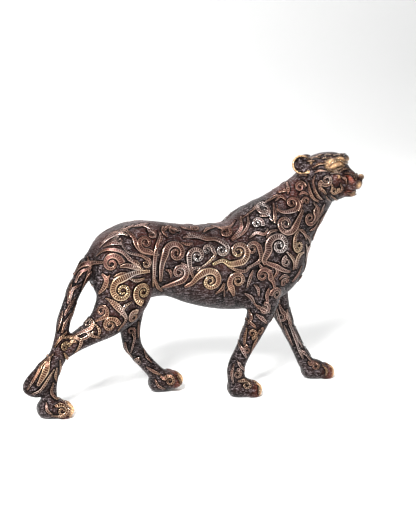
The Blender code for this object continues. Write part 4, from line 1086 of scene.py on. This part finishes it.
def clefts(points):
    """Narrow cuts, from 0 to 1 at their deepest: between the toes, along the mouth and in both nostrils."""
    cut = np.zeros(len(points))
    between_toes = np.clip(3 * on_toes(points, TOE_LENGTH), 0, 1)
    for name, ankle in ANKLES.items():
        on_paw = np.abs(points[:, 0] - ankle[0] - TOE_LENGTH) < CLEFT_REACH
        for k in (-1, 0, 1):
            off = np.abs(points[:, 1] - ankle[1] - k * TOE_WIDTH)
            cut = np.maximum(cut, on_paw * np.clip(1 - off / CLEFT_HALF_WIDTH, 0, 1) * between_toes)
    ahead = looking_ahead(points)
    mouth = np.abs(ahead[:, 2] - JAW_LOW - MOUTH_RISE) / MOUTH_HALF_WIDTH
    cut = np.maximum(cut, (ahead[:, 0] > HEAD_X + MOUTH_CORNER) * np.clip(1 - mouth, 0, 1))
    for side in (-1, 1):
        nostril = (HEAD_X + NOSTRIL_AHEAD, side * NOSTRIL_APART / 2, CROWN_TOP - NOSTRIL_DROP)
        off = np.linalg.norm(ahead - nostril, axis=1)
        cut = np.maximum(cut, np.clip(1.2 - off / NOSTRIL_RADIUS, 0, 1))
    return cut


past = groove_reach(skin_points)
sunk = np.where(past < 0, 1.0, (1 + np.cos(np.clip(past / GROOVE_WIDTH, 0, 1) * np.pi)) / 2)
depths = np.maximum(GROOVE_DEPTH * sunk, CLEFT_DEPTH * clefts(skin_points))
skin_points = skin_points - rows_of(casting.data.vertex_normals, "vector") * depths[:, None]
casting.data.vertices.foreach_set("co", skin_points.ravel())
thin = casting.modifiers.new("Thin", "DECIMATE")
thin.ratio = SKIN_TRIANGLES / (2 * len(casting.data.polygons))
thin.use_collapse_triangulate = True
casting = plain_copy(casting, "leopard_casting")

# Flat soles
solid = bmesh.new()
solid.from_mesh(casting.data)
everything = solid.verts[:] + solid.edges[:] + solid.faces[:]
bmesh.ops.bisect_plane(solid, geom=everything, plane_co=(0, 0, 0), plane_no=(0, 0, -1), clear_outer=True)
bmesh.ops.holes_fill(solid, edges=[rim_edge for rim_edge in solid.edges if rim_edge.is_boundary])
bmesh.ops.triangulate(solid, faces=[cap for cap in solid.faces if len(cap.verts) > 3])
solid.to_mesh(casting.data)
solid.free()

skin_points = rows_of(casting.data.vertices, "co")
past = groove_reach(skin_points)
# Painted shade: how far each point lies in a groove or a cleft, which the material darkens to near-black
groove_shade = np.maximum(1 - np.clip((past - GROOVE_FOOT) / GROOVE_WIDTH, 0, 1), clefts(skin_points))
set_numbers(casting.data, "groove_shade", groove_shade)
for kind, spots in (("gold", GOLD_SPOTS), ("red", RED_SPOTS)):
    set_numbers(casting.data, kind, worn(skin_points, spots))

# Places of the head in its own frame before it turns: x, y, z, radius, how worn. The first list shows yellow
# metal, the second the copper-red of a thin patina
HEAD_POLISH = [
    (HEAD_X + 33, 18, CROWN_TOP - 11, 6.0, 0.9),
    (HEAD_X + 40, 14, CROWN_TOP - 9, 5.0, 1.0),
    (HEAD_X + 45, 8, CROWN_TOP - 7, 3.5, 0.7),
    (HEAD_X + 59, 0, CROWN_TOP - 21.5, 3.6, 1.0),
    (HEAD_X + 57, 5, CROWN_TOP - 30, 3.6, 0.9),
    (HEAD_X + 40.5, 18, CROWN_TOP - 22, 2.2, 0.8),
    (HEAD_X + 53, 3, JAW_LOW + 7, 3.6, 0.7),
]
HEAD_COPPER = [
    (HEAD_X + 50, 13, CROWN_TOP - 25, 6.5, 1.0),
    (HEAD_X + 38, 18, CROWN_TOP - 24, 6.0, 1.0),
    (HEAD_X + 54, 6, CROWN_TOP - 19, 6.0, 0.7),
    (HEAD_X + 47, 7, JAW_LOW + 8, 7.0, 0.7),
]
POLISHED_TOES, TOE_POLISH = 8.0, 0.75
COPPERED_TOES, TOE_COPPER = 16.0, 0.6
RIM_INSET, RIM_SPREAD = 0.8, 1.2
FACE_SHARPNESS = 1.3

ahead = looking_ahead(skin_points)
polish = TOE_POLISH * np.clip(2 * on_toes(skin_points, POLISHED_TOES) - 0.4, 0, 1)
copper = TOE_COPPER * np.clip(1.5 * on_toes(skin_points, COPPERED_TOES), 0, 1)


def worn_face(level, places):
    """Raises a level of wear round places of the head, on both of its sides."""
    for x, y, z, radius, most in places:
        away = (ahead[:, 0] - x) ** 2 + (np.abs(ahead[:, 1]) - y) ** 2 + (ahead[:, 2] - z) ** 2
        level = np.maximum(level, most * np.exp(-away / radius**2 * FACE_SHARPNESS))
    return level


polish = worn_face(polish, HEAD_POLISH)
set_numbers(casting.data, "copper", worn_face(copper, HEAD_COPPER))
for side in (-1, 1):
    middle, way = ear_place(side)
    way = np.array(way.normalized())
    off_ear = ahead - np.array(middle)
    along_ear = off_ear @ way
    round_ear = np.linalg.norm(off_ear - np.outer(along_ear, way), axis=1)
    off_rim = (round_ear - EAR_RADIUS + RIM_INSET) ** 2 + (along_ear / RIM_SPREAD) ** 2
    polish = np.maximum(polish, np.exp(-off_rim))
set_numbers(casting.data, "polish", polish)
casting.data.vertices.foreach_set("co", ((skin_points - np.array(CENTRE)) * MM).ravel())
shade_smooth(casting)
casting.data.update()

# Brown patina over cast brass: near-black painted shade in the grooves, brown and mottled on the hatched
# field with painted glints; bare yellow metal on ears, brows, nose, lips and toes, which hands and polish
# reach first.
GROUND_DARK = linear("#0b0808")
GROUND_BROWN = linear("#251a19")
GROUND_RED = linear("#4b2620")
# Pale grey of painted glints along the hatching
GLINT_GREY = linear("#958789")
BARE_GOLD = linear("#ecbf90")
BARE_COPPER = linear("#93472f")

patina, shader, add = new_material("brown_patina_brass")
groove_shade, gold, red, polished, copper = (
    add("ShaderNodeAttribute", out="Fac", attribute_name=name)
    for name in ("groove_shade", "gold", "red", "polish", "copper")
)
place = add("ShaderNodeTexCoord", out="Object")
mottle = add("ShaderNodeTexNoise", {"Vector": place, "Scale": 120.0, "Detail": 5.0})
stipple = add("ShaderNodeTexNoise", {"Vector": place, "Scale": 1100.0, "Detail": 2.0})
slant = (0.0, math.radians(35), 0.0)
turned = add("ShaderNodeMapping", {"Vector": place, "Rotation": slant, "Scale": (280.0, 420.0, 850.0)})
hatch = add("ShaderNodeTexNoise", {"Vector": turned, "Scale": 1.0, "Detail": 2.0, "Distortion": 0.6})
patchy = add("ShaderNodeMapRange", {0: mottle, 1: 0.4, 2: 0.65})
# Painted glints: pale grey lines where hatch and stipple peak together
glint_pattern = add("ShaderNodeMath", {0: hatch, 1: stipple}, operation="MULTIPLY")
hatch_glint = add("ShaderNodeMapRange", {0: glint_pattern, 1: 0.27, 2: 0.36, 3: 0.0, 4: 0.6})
goldish = add("ShaderNodeMath", {0: gold, 1: 0.1}, operation="MULTIPLY")
blotched = add("ShaderNodeMath", {0: copper, 1: patchy, 2: 0.15}, operation="MULTIPLY_ADD", use_clamp=True)
coppery = add("ShaderNodeMath", {0: blotched, 1: copper}, operation="MULTIPLY")
rubbed_off = add("ShaderNodeMapRange", {0: stipple, 1: 0.35, 2: 0.6, 3: 0.45, 4: 1.15})
polish_here = add("ShaderNodeMath", {0: polished, 1: rubbed_off}, operation="MULTIPLY")
bright = add("ShaderNodeMapRange", {0: polish_here, 1: 0.1, 2: 0.75})
colour = GROUND_DARK
for share, over in (
    (patchy, GROUND_BROWN),
    (red, GROUND_RED),
    # painted glints along the hatching
    (hatch_glint, GLINT_GREY),
    (goldish, BARE_COPPER),
    (coppery, BARE_COPPER),
    # painted shade, near-black in the grooves and clefts
    (groove_shade, SHADE_BLACK),
    (bright, BARE_GOLD),
):
    colour = add("ShaderNodeMix", {0: share, 6: colour, 7: over}, out=2, data_type="RGBA")
rough = add("ShaderNodeMapRange", {0: bright, 1: 0.0, 2: 1.0, 3: 0.42, 4: 0.24})
height = add("ShaderNodeMath", {0: hatch, 1: stipple}, operation="ADD")
bump = add("ShaderNodeBump", {"Height": height, "Strength": 0.8, "Distance": 0.001})
set_inputs(shader, {"Base Color": colour, "Metallic": 0.85, "Roughness": rough, "Normal": bump})
set_inputs(shader, {"Coat Weight": 0.05, "Coat Roughness": 0.22, "Coat Normal": bump})
set_inputs(shader, {"Specular IOR Level": 0.2})

casting.data.materials.clear()
casting.data.materials.append(patina)
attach(casting, "root")
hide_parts("leopard")

# Studio. A pale floor that sweeps up behind the figure, one broad soft lamp from the upper left, a weaker one
# from the right and one from behind, and the camera at the photograph's angle.

IMAGE_WIDTH = 416
FOCAL_PIXELS = 1300.0
CAMERA_PLACE = Vector((-0.369, -1.1235, 0.367))
CAMERA_YAW = math.radians(19.0)
CAMERA_PITCH = math.atan(0.2)
FIGURE_MIDDLE = Vector((0, 0, 0.1))

sweep_mesh = bmesh.new()
flat = [(-3.0, 0.0), (0.0, 0.0), (0.9, 0.0), (1.3, 0.0)]
profile_line = smooth_rows(flat + [(1.8, 0.1), (2.15, 0.4), (2.25, 1.0), (2.25, 3.0)], 8)
left, right = ([sweep_mesh.verts.new((x, y, z)) for y, z in profile_line] for x in (-4.0, 4.0))
for k in range(len(profile_line) - 1):
    sweep_mesh.faces.new((left[k], right[k], right[k + 1], left[k + 1]))
floor = mesh_object("floor", sweep_mesh)
shade_smooth(floor)
# Matt white paper: it shows the shadow's soft edge and throws light back under the belly
paper, shader, _ = new_material("pale_paper_sweep")
set_inputs(shader, {"Base Color": linear("#fafaf9"), "Roughness": 0.8})
floor.data.materials.append(paper)

# Name, place in metres, size in metres, power in watts
for name, place, size, power in (
    ("key_lamp", (-0.9, -1.4, 1.2), 0.45, 92.0),
    ("fill_lamp", (1.5, -1.0, 0.9), 0.6, 12.0),
    ("back_lamp", (0.2, 1.2, 1.6), 0.8, 20.0),
):
    lamp_data = bpy.data.lights.new(name, "AREA")
    lamp_data.shape = "SQUARE"
    lamp_data.size = size
    lamp_data.energy = power
    lamp = placed(name, lamp_data)
    lamp.location = place
    lamp.rotation_euler = (FIGURE_MIDDLE - Vector(place)).to_track_quat("-Z", "Y").to_euler()

world = bpy.data.worlds.new("studio_air")
world.use_nodes = True
set_inputs(world.node_tree.nodes["Background"], {"Color": linear("#f4f6fa"), "Strength": 0.2})
bpy.context.scene.world = world

camera_data = bpy.data.cameras.new("camera")
camera_data.sensor_fit = "HORIZONTAL"
camera_data.sensor_width = 36.0
camera_data.lens = FOCAL_PIXELS / IMAGE_WIDTH * camera_data.sensor_width
camera = placed("camera", camera_data)
ahead_flat = Vector((math.sin(CAMERA_YAW), math.cos(CAMERA_YAW), 0))
looking = ahead_flat * math.cos(CAMERA_PITCH) - Vector((0, 0, math.sin(CAMERA_PITCH)))
camera.location = CAMERA_PLACE
camera.rotation_euler = looking.to_track_quat("-Z", "Y").to_euler()
bpy.context.scene.camera = camera
bpy.context.scene.view_settings.view_transform = "Standard"
